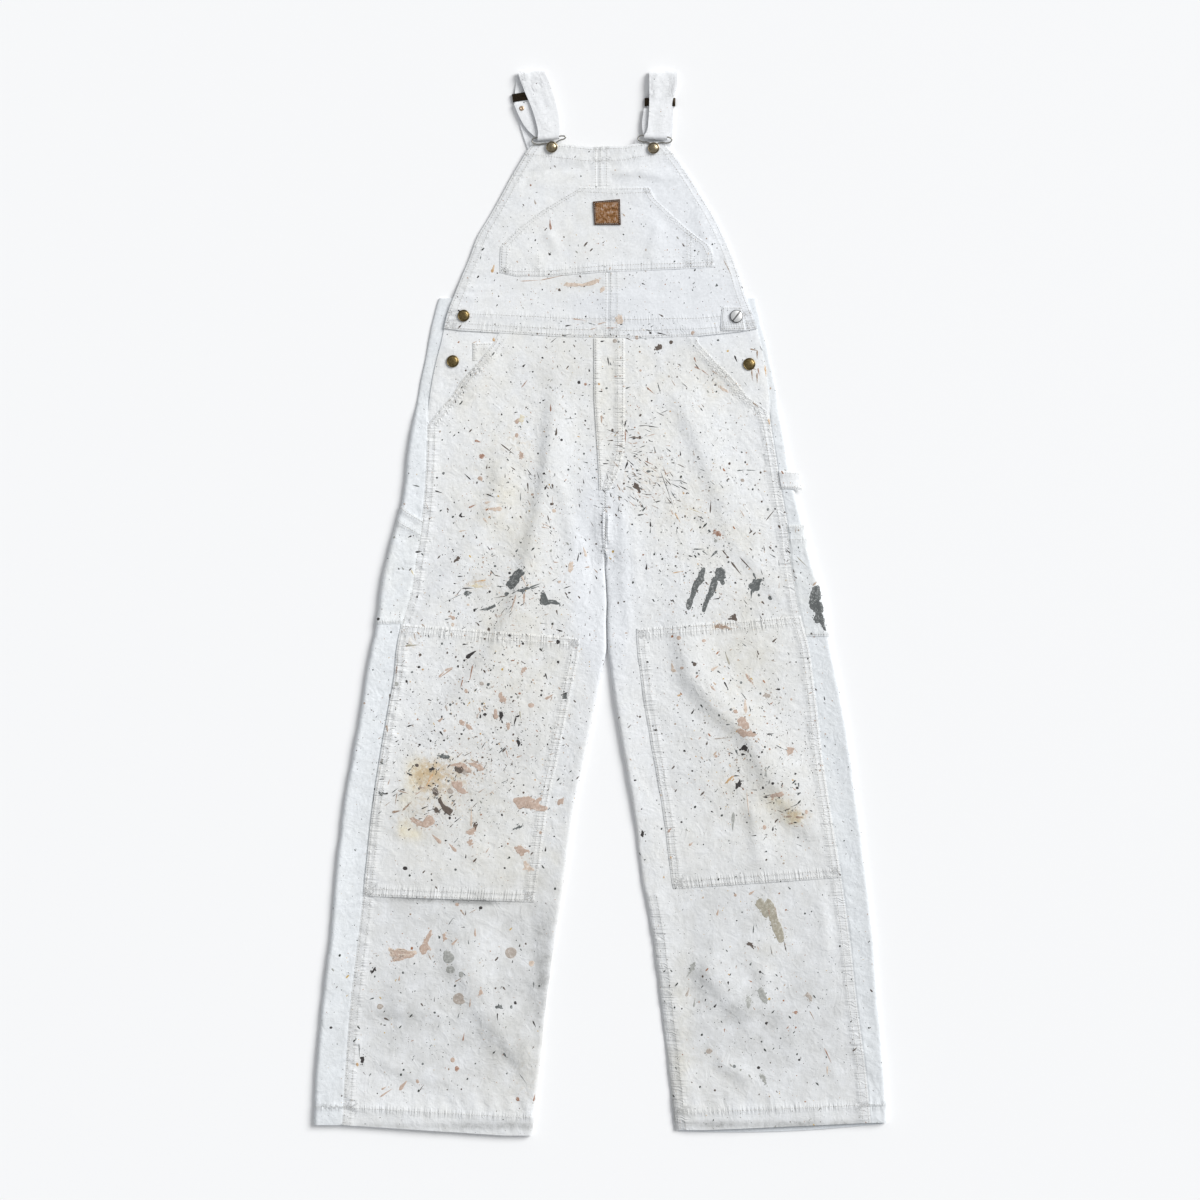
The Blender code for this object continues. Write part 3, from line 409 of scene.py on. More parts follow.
STAINED = (
    (-230, -220, 24, 22, 0.75), (-208, -246, 50, 44, 0.55), (-185, -215, 40, 26, 0.45), (-250, -290, 28, 26, 0.45),
    (252, -276, 20, 12, 0.9), (228, -258, 30, 18, 0.45), (165, -232, 22, 18, 0.35), (-108, 208, 30, 30, 0.5),
    (-150, 125, 40, 26, 0.4), (-160, 26, 26, 12, 0.7), (110, 118, 34, 26, 0.4), (60, 165, 34, 22, 0.4),
    (-180, 275, 24, 26, 0.35), (150, 285, 34, 26, 0.4), (30, 250, 8, 90, 0.35), (155, -30, 30, 10, 0.5),
    (-244, -52, 18, 10, 0.6), (-95, -615, 24, 50, 0.35), (140, -585, 30, 16, 0.35), (0, 365, 60, 12, 0.3),
    (-100, -110, 60, 30, 0.2), (170, -150, 40, 60, 0.25), (225, -400, 22, 40, 0.35), (-250, -455, 30, 12, 0.3),
)
COOL_PLACES = ((0, 30, 28, 100, 1.0), (120, 520, 60, 60, 0.5), (90, 385, 110, 40, 0.5))


def spread(x, y, places):
    """How much of something lies at a point, from a table of soft-edged places."""
    total = np.zeros(np.broadcast(x, y).shape)
    for px, py, across, along, amount in places:
        total += amount * np.exp(-(((x - px) / across) ** 2) - ((y - py) / along) ** 2)
    return total


def worn(piece, points, dirt, cream):
    """Writes a piece's dirt and painted shade, creaminess and spatter on to its points; its underside stays clean."""
    x, y, z = points.T
    on_top = ease(z, 0.8, 2.4)
    # the cloth is made steadily darker towards the bottom, from the hips down to the ankles
    low = 0.25 * ease(-y, -250, 620)
    layers = {
        "soil_and_shade": dirt * (low + spread(x, y, SOIL_AND_PAINTED_SHADE) * (1 + 0.35 * rumple(x, y, 38, 101))),
        "warm": np.maximum(0.55 * cream + 0.36 * spread(x, y, WARMTH) * (1 + 0.3 * rumple(x, y, 30, 102)) * dirt
                           - 0.6 * spread(x, y, COOL_PLACES), 0),
        "spatter": 0.10 + dirt * spread(x, y, SPATTERED),
        "stain": dirt * spread(x, y, STAINED),
        "crumple": 1 - 0.6 * ease(y, 305, 348),
        "seam": 0 * x,
        "run": 0 * x,
    }
    for name, values in layers.items():
        note(piece, name, values * on_top)


def feed(tree, node, inputs):
    """Sets a node's inputs, each to a value or to a socket to link from."""
    for key, value in inputs.items():
        if isinstance(value, bpy.types.NodeSocket):
            tree.links.new(value, node.inputs[key])
        else:
            node.inputs[key].default_value = value


def put(tree, kind, inputs, out=0, **settings):
    """Adds a shader node and gives one of its outputs."""
    made = tree.nodes.new("ShaderNode" + kind)
    for name, value in settings.items():
        setattr(made, name, value)
    feed(tree, made, inputs)
    return made.outputs[out]


def sums(tree, operation, first, second=0.0, third=0.0, clamp=False):
    return put(tree, "Math", {0: first, 1: second, 2: third}, operation=operation, use_clamp=clamp)


def times(tree, first, second, plus=0.0, clamp=False):
    return sums(tree, "MULTIPLY_ADD", first, second, plus, clamp)


def scaled(tree, vector, by):
    return put(tree, "VectorMath", {0: vector, "Scale": by}, operation="SCALE")


def stretched(tree, vector, factors):
    return put(tree, "VectorMath", {0: vector, 1: factors}, operation="MULTIPLY")


def noise(tree, place, scale, detail, roughness=0.5, out=0, distortion=0.0):
    return put(tree, "TexNoise", {"Vector": place, "Scale": scale, "Detail": detail, "Roughness": roughness,
                                  "Distortion": distortion}, out)


def swayed(tree, place, scale, detail, reach):
    """A place moved about unevenly."""
    sway = scaled(tree, noise(tree, place, scale, detail, out="Color"), reach)
    return put(tree, "VectorMath", {0: place, 1: sway}, operation="ADD")


def ranged(tree, value, low, high, start, end):
    """Takes low to high over to start to end, and holds it there."""
    return put(tree, "MapRange", {0: value, 1: low, 2: high, 3: start, 4: end})


def blend(tree, share, first, second):
    return put(tree, "Mix", {0: share, 6: first, 7: second}, 2, data_type="RGBA")


def ramp(tree, value, stops, steps="LINEAR"):
    """The colours that a value runs through, from (where, colour) stops."""
    colour = put(tree, "ValToRGB", {0: value})
    band = colour.node.color_ramp
    band.interpolation = steps
    for i, (at, tone) in enumerate(stops):
        stop = band.elements[i] if i < 2 else band.elements.new(at)
        stop.position, stop.color = at, (*tone, 1)
    return colour


def group(name, inputs, outputs):
    """An empty shader group with (name, kind, default) sockets."""
    tree = bpy.data.node_groups.new(name, "ShaderNodeTree")
    for label, kind, default in inputs:
        socket = tree.interface.new_socket(label, in_out="INPUT", socket_type="NodeSocket" + kind)
        if default is not None:
            socket.default_value = default
    for label, kind in outputs:
        tree.interface.new_socket(label, in_out="OUTPUT", socket_type="NodeSocket" + kind)
    return tree, tree.nodes.new("NodeGroupInput").outputs, tree.nodes.new("NodeGroupOutput")


# What the cotton turns to: creamy with age, brown in a stain, grey with dirt and with painted shade
CREAM, STAIN, DIRT_AND_SHADE_GREY = (0.84, 0.785, 0.63, 1), (0.60, 0.44, 0.235, 1), (0.398, 0.402, 0.396, 1)


def weave_group():
    """A plain weave of slightly uneven threads, in millimetres: its height, and its light and dark."""
    tree, given, out = group("plain_weave", [("Place", "Vector", None), ("Thread", "Float", 0.6)],
                             [("Height", "Float"), ("Shade", "Float")])
    axes = put(tree, "SeparateXYZ", {0: swayed(tree, given["Place"], 0.25, 1.0, 1.6)}).node.outputs
    turn = sums(tree, "DIVIDE", math.pi, given["Thread"])
    warp, weft = (sums(tree, "SINE", times(tree, axes[way], turn)) for way in "XY")
    slubs = (stretched(tree, given["Place"], way) for way in ((1.6, 0.09, 0.5), (0.09, 1.6, 0.5)))
    uneven = sums(tree, "ADD", *(noise(tree, place, 1.0, 2.0) for place in slubs))
    feed(tree, out, {"Height": times(tree, times(tree, warp, weft), 0.5, uneven),
                     "Shade": times(tree, uneven, 0.5, 0.5)})
    return tree


def droplet_group():
    """Fine round or drawn-out droplets: a mask, and a number that differs from droplet to droplet."""
    tree, given, out = group(
        "droplets", [("Place", "Vector", None), ("Stretch", "Vector", (1, 1, 1)), ("Turn", "Float", 0.0),
                     ("Cell", "Float", 8.0), ("Size", "Float", 1.2), ("Amount", "Float", 0.3)],
        [("Mask", "Float"), ("Pick", "Float")])
    turned_way = put(tree, "VectorRotate", {"Vector": swayed(tree, given["Place"], 0.7, 3.0, 2.0),
                                            "Angle": given["Turn"]}, rotation_type="Z_AXIS")
    cells = put(tree, "TexVoronoi", {"Vector": stretched(tree, turned_way, given["Stretch"]),
                                     "Scale": sums(tree, "DIVIDE", 1.0, given["Cell"])}).node.outputs
    picks = put(tree, "SeparateColor", {0: cells["Color"]}).node.outputs
    size = times(tree, sums(tree, "POWER", picks["Green"], 3.0), 0.8, 0.3)
    reach = sums(tree, "DIVIDE", times(tree, size, given["Size"]), given["Cell"])
    inside = ranged(tree, cells["Distance"], reach, times(tree, reach, 0.72), 0.0, 1.0)
    landed = sums(tree, "LESS_THAN", picks["Red"], given["Amount"])
    feed(tree, out, {"Mask": times(tree, inside, landed), "Pick": picks["Blue"]})
    return tree


def soiled_and_shaded_group():
    """Bleached cotton that has greyed with dirt and with painted shade, gone creamy in patches, darker along its seams,
    with the painted light and shade of its weave.
    """
    tree, given, out = group(
        "soiled_and_shaded_cotton", [("Place", "Vector", None), ("Clean", "Color", (0.8, 0.8, 0.8, 1)), ("Soil_and_shade", "Float", 0.0),
                          ("Warm", "Float", 0.0), ("Stain", "Float", 0.0), ("Seam", "Float", 0.0),
                          ("Shade", "Float", 0.5)],
        [("Colour", "Color")])
    cloud = ranged(tree, noise(tree, given["Place"], 0.045, 5.0, 0.62), 0.3, 0.7, 0.45, 1.5)
    mottled = noise(tree, given["Place"], 0.28, 3.0, 0.7)
    fleck = ranged(tree, mottled, 0.3, 0.7, 0.6, 1.35)
    cotton = blend(tree, times(tree, given["Warm"], cloud, clamp=True), given["Clean"], CREAM)
    blots = times(tree, given["Stain"], 0.22, noise(tree, given["Place"], 0.17, 6.0, 0.75))
    stained = times(tree, ranged(tree, blots, 0.58, 0.76, 0.0, 1.0), times(tree, given["Stain"], 0.85, clamp=True))
    cotton = blend(tree, stained, cotton, STAIN)
    # this dirt mask also carries painted shade, and greys the cotton with it
    dirt = times(tree, times(tree, given["Soil_and_shade"], cloud), fleck)
    dirt = times(tree, given["Seam"], times(tree, fleck, 0.05), dirt)
    cotton = blend(tree, times(tree, dirt, 0.42, clamp=True), cotton, DIRT_AND_SHADE_GREY)
    # painted light and shade: the colour is made lighter and darker over the threads and in patches a few millimetres
    # across, for the weave's fine relief catching the light
    light = ranged(tree, given["Shade"], 0.7, 1.3, 0.935, 1.05)
    fine = ranged(tree, mottled, 0.3, 0.7, 0.925, 1.065)
    feed(tree, out, {"Colour": scaled(tree, cotton, times(tree, light, fine))})
    return tree


def material(name):
    """An empty material: itself, its tree, its shader, and the place on the piece in millimetres."""
    made = bpy.data.materials.new(name)
    made.use_nodes = True
    tree = made.node_tree
    return made, tree, tree.nodes["Principled BSDF"], scaled(tree, put(tree, "TexCoord", {}, "Object"), 1000.0)


def surfaced(tree, shader, colour, roughness, height, depth, strength=1.0):
    """Gives a shader its colour, its roughness and its relief."""
    relief = put(tree, "Bump", {"Height": height, "Distance": depth, "Strength": strength})
    feed(tree, shader, {"Base Color": colour, "Roughness": roughness, "Normal": relief})


WEAVE, DROPLETS, SOILED_AND_SHADED = weave_group(), droplet_group(), soiled_and_shaded_group()
# The paints that were dripped on it, near black first: how common each is, and its colour
PAINTS = (
    (0.00, (0.030, 0.036, 0.030)),
    (0.36, (0.085, 0.055, 0.040)),
    (0.55, (0.330, 0.330, 0.300)),
    (0.70, (0.500, 0.370, 0.270)),
    (0.86, (0.330, 0.120, 0.040)),
    (0.94, (0.560, 0.360, 0.090)),
)
# The fine droplets in the canvas: cell, size, amount, stretch, turn
DROPLET_KINDS = (
    (2.8, 0.80, 1.1, (1, 1, 1), 0.0), (6.0, 1.6, 0.45, (1, 0.8, 1), 0.5),
    (5.2, 1.15, 0.8, (0.40, 1, 1), 0.9), (5.6, 1.2, 0.8, (0.30, 1, 1), 2.3),
)


def canvas(name, clean):
    """Cotton canvas: the weave and its wrinkles, the dirt and painted shade, and the spatter of fine droplets."""
    made, tree, shader, place = material(name)
    soil_and_shade, warm, stain, spatter, seam, run, crumple = (
        put(tree, "Attribute", {}, "Fac", attribute_name=layer)
        for layer in ("soil_and_shade", "warm", "stain", "spatter", "seam", "run", "crumple"))
    weave = put(tree, "Group", {"Place": place}, node_tree=WEAVE).node.outputs
    colour = put(tree, "Group", {"Place": place, "Soil_and_shade": soil_and_shade, "Warm": warm, "Stain": stain, "Seam": seam,
                                 "Shade": weave["Shade"], "Clean": (*clean, 1)}, node_tree=SOILED_AND_SHADED)
    painted = None
    for cell, size, amount, stretch, turn in DROPLET_KINDS:
        drops = put(tree, "Group", {"Place": place, "Amount": times(tree, spatter, amount), "Cell": cell, "Size": size,
                                    "Stretch": stretch, "Turn": turn}, node_tree=DROPLETS).node.outputs
        colour = blend(tree, drops["Mask"], colour, ramp(tree, drops["Pick"], PAINTS, "CONSTANT"))
        painted = drops["Mask"] if painted is None else sums(tree, "MAXIMUM", painted, drops["Mask"])
    wrinkles = noise(tree, place, 0.12, 4.0, 0.55)
    crumpled = sums(tree, "SUBTRACT", noise(tree, place, 0.055, 2.5, 0.55, distortion=0.6), 0.5)
    drawn_up = put(tree, "TexNoise", {"W": times(tree, run, 0.27), "Scale": 1.0, "Detail": 1.5},
                   noise_dimensions="1D")
    height = times(tree, sums(tree, "ABSOLUTE", crumpled), -3.2, times(tree, wrinkles, 1.35))
    height = times(tree, times(tree, drawn_up, seam), 3.8, height)
    height = times(tree, weave["Height"], 0.10, times(tree, height, crumple))
    height = times(tree, painted, 0.12, height)
    surfaced(tree, shader, colour, times(tree, painted, -0.3, 0.92), height, 0.001, 0.6)
    return made


FINISHES = {"canvas": canvas("canvas", (0.818, 0.836, 0.860)),
            "canvas_warm": canvas("canvas_warm", (0.818, 0.832, 0.846)),
            "canvas_back": canvas("canvas_back", (0.785, 0.815, 0.842)),
            "webbing": canvas("webbing", (0.862, 0.874, 0.892))}
STITCH_PITCH = 3.4
STITCH = (2.7, 0.75, 0.5)  # length, width, height
STITCH_RISE = 0.12  # how far its middle stands above the cloth
ROW_STEPS, INWARD_STEPS, FINE_STEPS = 90, 13, 1500  # how finely a row's place and its run are read
DRAWN = 4.5  # how far from a row of stitches the canvas is drawn up


def edge_row(form, edge, inset, start=0.0, end=1.0, within=1.0):
    """Places across and along of a row sewn at a distance in from one edge of a piece."""
    run = np.linspace(start, end, ROW_STEPS)
    far, near = np.meshgrid(np.linspace(0, within, INWARD_STEPS), run)
    u, v = (far, near) if edge in ("left", "right") else (near, far)
    points = laid(form, u.ravel(), v.ravel()).reshape(ROW_STEPS, INWARD_STEPS, 3)
    share = inset / np.linalg.norm(np.diff(points, axis=1), axis=2).sum(axis=1) * within
    if edge in ("right", "bottom"):
        share = within - share
    return (share, run) if edge in ("left", "right") else (run, share)


def all_round(insets, start, end):
    return [(edge, inset, start, end) for edge in ("left", "right", "top", "bottom") for inset in insets]


def sew(piece, form, rows, pitch=STITCH_PITCH, size=STITCH):
    """Sews rows of stitches through a piece, and notes on its points where they run.

    A row is given as for edge_row, or as its own places across and along.
    """
    bm = bmesh.new()
    bmesh.ops.create_uvsphere(bm, u_segments=4, v_segments=2, radius=0.5)
    bmesh.ops.scale(bm, verts=bm.verts, vec=size)
    stitch = meshed("stitch", bm)
    bm = bmesh.new()
    marks = []
    for row in rows:
        u, v = edge_row(form, *row) if isinstance(row[0], str) else row
        u, v = (np.interp(np.linspace(0, 1, FINE_STEPS), np.linspace(0, 1, len(c)), c)
                for c in np.broadcast_arrays(u, v))
        run = run_along(laid(form, u, v))
        at = np.arange(pitch / 2, run[-1], pitch)
        u, v = np.interp(at, run, u), np.interp(at, run, v)
        here = laid(form, u, v)
        ahead = np.gradient(here, axis=0)
        after, before = (laid(form, np.clip(u + step, 0, 1), np.clip(v + step, 0, 1)) for step in (0.004, -0.004))
        normal = np.cross(ahead, after - before)
        normal *= np.sign(normal[:, 2:3] + 1e-9)
        for point, along, out, length in zip(here, ahead, normal, at):
            marks.append((*point[:2], length))
            along, out = Vector(along).normalized(), Vector(out).normalized()
            across = out.cross(along).normalized()
            pose = Matrix((along * MM, across * MM, out * MM)).transposed().to_4x4()
            pose.translation = (Vector(point) + Vector((*CENTRE, 0)) + out * STITCH_RISE) * MM
            one = stitch.copy()
            one.transform(pose)
            bm.from_mesh(one)
            bpy.data.meshes.remove(one)
    bpy.data.meshes.remove(stitch)
    mesh = meshed(piece.name + "_thread", bm)
    mesh.shade_smooth()
    shown(mesh, THREAD)
    tree = KDTree(len(marks))
    for i, mark in enumerate(marks):
        tree.insert((mark[0], mark[1], 0), i)
    tree.balance()
    places = points_of(piece.data) / MM - (*CENTRE, 0)
    closeness, lengths = np.zeros(len(places)), np.zeros(len(places))
    for i, (x, y, z) in enumerate(places):
        if z < 0.8:
            continue
        _, mark, away = tree.find((x, y, 0))
        closeness[i], lengths[i] = math.exp(-((away / DRAWN) ** 2)), marks[mark][2]
    note(piece, "seam", closeness)
    note(piece, "run", lengths)


def thread():
    """Soft spun cotton, yellowed and dirty in places."""
    made, tree, shader, place = material("thread")
    colour = ramp(tree, noise(tree, place, 0.045, 3.0), ((0.35, (0.52, 0.49, 0.43)), (0.62, (0.82, 0.82, 0.80))))
    ply = put(tree, "TexWave", {"Vector": place, "Scale": 0.9}, bands_direction="DIAGONAL")
    surfaced(tree, shader, colour, 0.8, ply, 0.0001)
    return made


THREAD = thread()

STRIP, ROUND = 0.34, 0.62  # shares across a back where its outer strip and its rolled edge end
HEM_SAG = {"left": 0.0, "right": 7.0}  # the right back hangs below its front


def leg_dip(side, level):
    return through(LEFT_DIP if side == "left" else RIGHT_DIP, 1, level)


def back_form(side):
    sign = SIGN[side]

    def form(u, v):
        level = SEAT_TOP + (FEET[side] - SEAT_TOP) * v
        fold = leg_line(side, "fold", level) + 0.5 * waver(level, 23, 41) + 0.25 * waver(level, 9, 42)
        under, width = straight(TUCK, 1, level), straight(TUCK, 2, level)
        seam = leg_line(side, "side", level)
        edge = seam - sign * np.maximum(width, FELL * ease(-level, -242, -232))
        crest = fold - sign * FOLD_DEPTH
        strip, below = part(u, 0, STRIP), part(u, ROUND, 1)
        angle = math.pi / 2 - math.pi * part(u, STRIP, ROUND)
        on_top = edge + (crest - edge) * strip
        beyond = (on_top - seam) * sign
        lying = front_level(side, on_top, level) - np.maximum(under, 0.9 * (1 - ease(beyond, -0.6, 0.9)))
        dip = leg_dip(side, level)
        inner = leg_line(side, "inner", level - dip)
        wrapped = FOLD_DEPTH + 2 * GAP
        start = inner + sign * (GAP / 2 + wrapped * ease(-(level - dip), -CROTCH - 2, -CROTCH + 2))
        sag = HEM_SAG[side] * np.sin(math.pi * (below * 0.8 + 0.1)) * ease(v, 0.955, 1.0) * (u > ROUND)
        x = np.where(u < STRIP, on_top, crest + sign * FOLD_DEPTH * np.cos(angle))
        x = np.where(u > ROUND, crest + (start - crest) * below, x)
        z = np.where(u < STRIP, lying, lying / 2 * (1 + np.sin(angle)))
        return x, level - dip * below - sag, np.where(u > ROUND, 0.0, z)

    return form


def ankle_hem(side):
    return lambda x, y: y < FEET[side] + LEG_HEM - leg_dip(side, FEET[side]) * 0.5


backs = {side: cloth("leg_back_" + side, "back_" + side, 50, 360, back_form(side), hems=ankle_hem(side),
                     up=False, slot="canvas_back", dirt=0.5, cream=0.08) for side in SIDES}
for side, piece in backs.items():
    sew(piece, back_form(side), [("bottom", LEG_HEM - 2)])

# ======== the leg fronts
# Each front is one length of the same canvas, sewn to the other at the centre seam and to its back at the
# inseam, so it rolls round the leg's inner edge and ends underneath. Its hip pocket mouth is cut on a slant.

PATCH = {"left": (-26.0, -379.0), "right": (-15.0, -355.0)}  # levels of a knee patch
PATCH_INSET = {"left": 35.0, "right": 38.0}  # from a patch's inner edge to the leg's inner outline
FLAT, ROLL = 0.8, 0.9  # shares across a front where the patch's edge and the rolled inner edge lie
GATHERS = (  # short tucks drawn up where four seams meet at the crotch: a line, a rise, two widths
    (((-3, 131), (-5, 100), (-1, 66)), 2.4, 2.6, 2.2),
    (((3, 128), (2, 96), (5, 60)), 2.8, 2.4, 2.6),
    (((9, 122), (8, 92), (11, 70)), 2.2, 2.6, 2.2),
    (((15, 108), (15, 84), (18, 62)), 1.6, 3.0, 2.6),
    (((-9, 108), (-11, 84), (-9, 60)), 1.5, 2.6, 3.0),
)


def front_lie(side, x, y):
    """The front's own level: the leg's, with the crotch gathers and the hip pocket's stitched mouth."""
    level = front_level(side, x, y) + creased(x, y, GATHERS)
    sign = SIGN[side]
    mouth = leg_line(side, "side", y) - sign * leg_line(side, "pocket", y)
    from_mouth = np.where((y > POCKET_MOUTH[1]) & (y < POCKET_MOUTH[0]), (mouth - x) * sign * 0.75, FAR)
    return level + puckers(from_mouth - 9, y * 1.3, 51, reach=8, pitch=7, rise=0.5)


def front_form(side):
    sign = SIGN[side]

    def form(u, v):
        level = FRONT_TOP + (FEET[side] - FRONT_TOP) * v
        dip = leg_dip(side, level)
        inner_y = level - dip
        wrap = ease(-inner_y, -CROTCH - 8, -CROTCH + 8)
        inner = leg_line(side, "inner", inner_y) + wrap * 0.5 * waver(inner_y, 21, 43)
        edge = leg_line(side, "side", level) - sign * (leg_line(side, "pocket", level) + GAP / 2)
        patch = inner + sign * PATCH_INSET[side]
        crest = inner + sign * FOLD_DEPTH
        s, t, r = part(u, 0, FLAT), part(u, FLAT, ROLL), part(u, ROLL, 1)
        x = np.where(u < FLAT, edge + (patch - edge) * s, patch + (crest - patch) * t)
        y = level - dip * s
        z = front_lie(side, x, y)
        angle = math.pi / 2 - math.pi * r
        round_x = inner + sign * FOLD_DEPTH * (1 - np.cos(angle))
        flat_x = crest + (inner + sign * GAP / 2 - crest) * r
        rolled = u > ROLL
        out_x = np.where(rolled, wrap * round_x + (1 - wrap) * flat_x, x)
        flat_z = front_lie(side, flat_x, y)
        top = front_lie(side, crest, inner_y)
        out_z = np.where(rolled, wrap * top / 2 * (1 + np.sin(angle)) + (1 - wrap) * flat_z, z)
        return out_x, y, out_z

    return form


fronts = {side: cloth("leg_front_" + side, "front_" + side, 70, 360, front_form(side),
                      hems=ankle_hem(side), flattened=0.3) for side in SIDES}


def down_front(level):
    """The share along a front at which a level lies."""
    return (FRONT_TOP - level) / (FRONT_TOP - FEET["left"])


MOUTH_START, INSEAM_TOP = down_front(POCKET_MOUTH[0]), down_front(-365)
INSEAM_ROWS = [((0.872, 0.874), (INSEAM_TOP, 1.0)), ((0.894, 0.894), (INSEAM_TOP, 1.0))]
for side, piece in fronts.items():
    rows = [("left", 2.4, MOUTH_START, 1.0, FLAT), ("left", 10.0, MOUTH_START, 1.0, FLAT),
            ("bottom", LEG_HEM - 2, 0.0, ROLL), ("right", 3.0, MOUTH_START, down_front(70))]
    sew(piece, front_form(side), rows + (INSEAM_ROWS if side == "right" else []))

# ======== knee patches
# A second layer of canvas from thigh to shin, set in with the side seam and topstitched twice on its other
# sides. Each lies on the front that carries it, so it is made from the front's own points, moved out.

PATCH_WIDTH = 220.0
GAPING = {"left": 1.5, "right": 0.4}  # how far its lower edge stands off the leg between its corners


def patch_form(side):
    top, foot = PATCH[side]
    start, end = ((FRONT_TOP - level) / (FRONT_TOP - FEET[side]) for level in (top, foot))
    on_front = lifted(front_form(side), LAP)

    def form(u, v):
        x, y, z = on_front(u * FLAT, start + (end - start) * v)
        from_top, from_foot, from_inner = v * (top - foot), (1 - v) * (top - foot), (1 - u) * PATCH_WIDTH
        slack = 0.6 * ease(np.minimum(np.minimum(from_top, from_foot), from_inner), 8, 24)
        z = z + puckers(from_top - 5, x, 61, reach=8, pitch=8, rise=0.32)
        z = z + puckers(from_foot - 5, x, 63, reach=8, pitch=8, rise=0.42)
        z = z + GAPING[side] * np.sin(math.pi * u) * np.exp(-((from_foot / 6) ** 2))
        return x, y, z + puckers(from_inner - 5, y, 62, reach=7, pitch=7, rise=0.32) + slack

    return form


knees = {side: cloth("knee_panel_" + side, "knee_patch_" + side, 80, 150, patch_form(side),
                     slot="canvas_warm", cream=0.15) for side in SIDES}
for side, piece in knees.items():
    sew(piece, patch_form(side), all_round((2.8, 9.6), 0.01, 0.99))

# ======== tool pockets and hammer loop
# A narrow pocket lies on each leg's back and reaches round the outer edge on to the thigh, where its hemmed
# mouth shows. The hammer loop is a folded band caught in the right side seam, its other end behind.

TOOL_POCKET = {"left": (127.0, -26.0), "right": (103.0, -42.0)}
MOUTH_SLANT = 19.0  # the left mouth's drop towards the outer edge is cut away by this much
POCKET_SPAN = 0.73  # share across the back that a tool pocket covers
LOOP_LEVELS = (173.0, 149.0)
ON_LEG = 0.62  # share of the hammer loop that lies on the leg


def tool_pocket_form(side):
    top, foot = TOOL_POCKET[side]
    whole = lifted(back_form(side), LAP)
    slant = MOUTH_SLANT if side == "left" else 0.0

    def form(u, v):
        cut = slant * (1 - np.clip(u / 0.55, 0, 1)) * (1 - v)
        level = top + (foot - top) * v - cut
        x, y, z = whole(u * POCKET_SPAN, (SEAT_TOP - level) / (SEAT_TOP - FEET[side]))
        return x, y, np.maximum(z, 0.05)

    return form


pockets = {side: cloth("side_pocket_" + side, "tool_pocket_" + side, 36, 54, tool_pocket_form(side),
                       slot="canvas_back", dirt=0.6) for side in SIDES}
for side, piece in pockets.items():
    sew(piece, tool_pocket_form(side), [("top", 3, 0.0, 0.8), ("top", 20, 0.0, 0.8), ("bottom", 3, 0.0, 0.8)])


def loop_form(u, v):
    level = LOOP_LEVELS[0] + (LOOP_LEVELS[1] - LOOP_LEVELS[0]) * v
    side_x = leg_line("right", "side", level)
    crest = leg_line("right", "fold", level) - FOLD_DEPTH
    on_leg = side_x + (crest - side_x) * part(u, 0, ON_LEG)
    beyond = part(u, ON_LEG, 1)
    z = front_level("right", on_leg, level) + LAP
    bulge = 0.9 * np.sin(math.pi * v) ** 0.5
    return on_leg + beyond * 15.5, level - beyond * 1.5, z - 2.5 * beyond ** 2 + bulge


hammer_loop = cloth("hammer_band", "hammer_loop", 24, 18, loop_form)
sew(hammer_loop, loop_form, [("top", 3), ("bottom", 3)])

# ======== hip pockets
# Behind each slanted mouth lies a facing, which carries the lower side button. The left one also has the
# watch pocket, a small patch whose corner the front covers.

FACING = (360.0, 229.0)
FACING_UNDER = 16.0  # how far it goes on under the front
WATCH_POCKET = ((339, -167, -142.5), (327, -167, -150.5), (316, -167, -160.5))


def facing_form(side):
    sign = SIGN[side]

    def form(u, v):
        level = FACING[0] + (FACING[1] - FACING[0]) * v
        edge = leg_line(side, "side", level)
        mouth = edge - sign * leg_line(side, "pocket", level)
        start = edge - sign * GAP
        x = start + (mouth - sign * FACING_UNDER - start) * u
        y = level - leg_dip(side, level) * u * 0.3
        return x, y, front_level(side, x, y) - LAP

    return form


facings = {side: cloth("hip_facing_" + side, "pocket_facing_" + side, 34, 50, facing_form(side),
                       dirt=0.35) for side in SIDES}


def across_at(line, x):
    """The y of a line of (x, y) points at x."""
    return np.interp(x, *zip(*line))


def panel_form(outline, level, rise, foot=None):
    """A piece that lies on another, between the left and the right edge of a table (y, left, right)."""
    top, bottom = outline[0][0], outline[-1][0]

    def form(u, v):
        y = top + (bottom - top) * v
        left = straight(outline, 1, y)
        x = left + (straight(outline, 2, y) - left) * u
        if foot is not None:  # the lower edge is not level
            y = y + (across_at(foot, x) - bottom) * ease(v, 0.55, 1.0)
        return x, y, level(x, y) + rise

    return form


def facing_level(side):
    return lambda x, y: front_level(side, x, y) - LAP


coin_form = panel_form(WATCH_POCKET, facing_level("left"), CLOTH + GAP)
watch_pocket = cloth("coin_pocket", "watch_pocket", 14, 14, coin_form)
sew(watch_pocket, coin_form, [("top", 2), ("top", 8), ("left", 2)])

# ======== the fly
# A long strip of creamier canvas laid over the centre seam, open along its left edge and held down on the
# right by two rows of stitches that curve in at its foot.

FLY = (
    (345, -9.7, 30), (300, -9.7, 30), (265, -9.7, 30), (226, -7, 30), (200, -5.5, 29), (175, -4, 24), (148, -3.2, 11),
)


def fly_lie(x, y):
    level = np.where(x < 5, front_lie("left", x, y), front_lie("right", x, y))
    return level + 0.5 * np.exp(-((x + 8) / 5) ** 2) + puckers(np.abs(x - 24), y, 71, reach=6, pitch=6)


fly_form = panel_form(FLY, fly_lie, LAP)
fly = cloth("fly_front", "fly", 18, 90, fly_form, slot="canvas_warm", dirt=0.5,
            cream=0.38)
sew(fly, fly_form, [("right", 2.4), ("right", 8.5), ("left", 2.5)])

# ======== the bib
# Two halves joined by a seam that sits off the middle, hemmed down both sides and along the top, and
# lapped over the fronts at the waist. The upper back, which only carries the straps, is hidden under it.

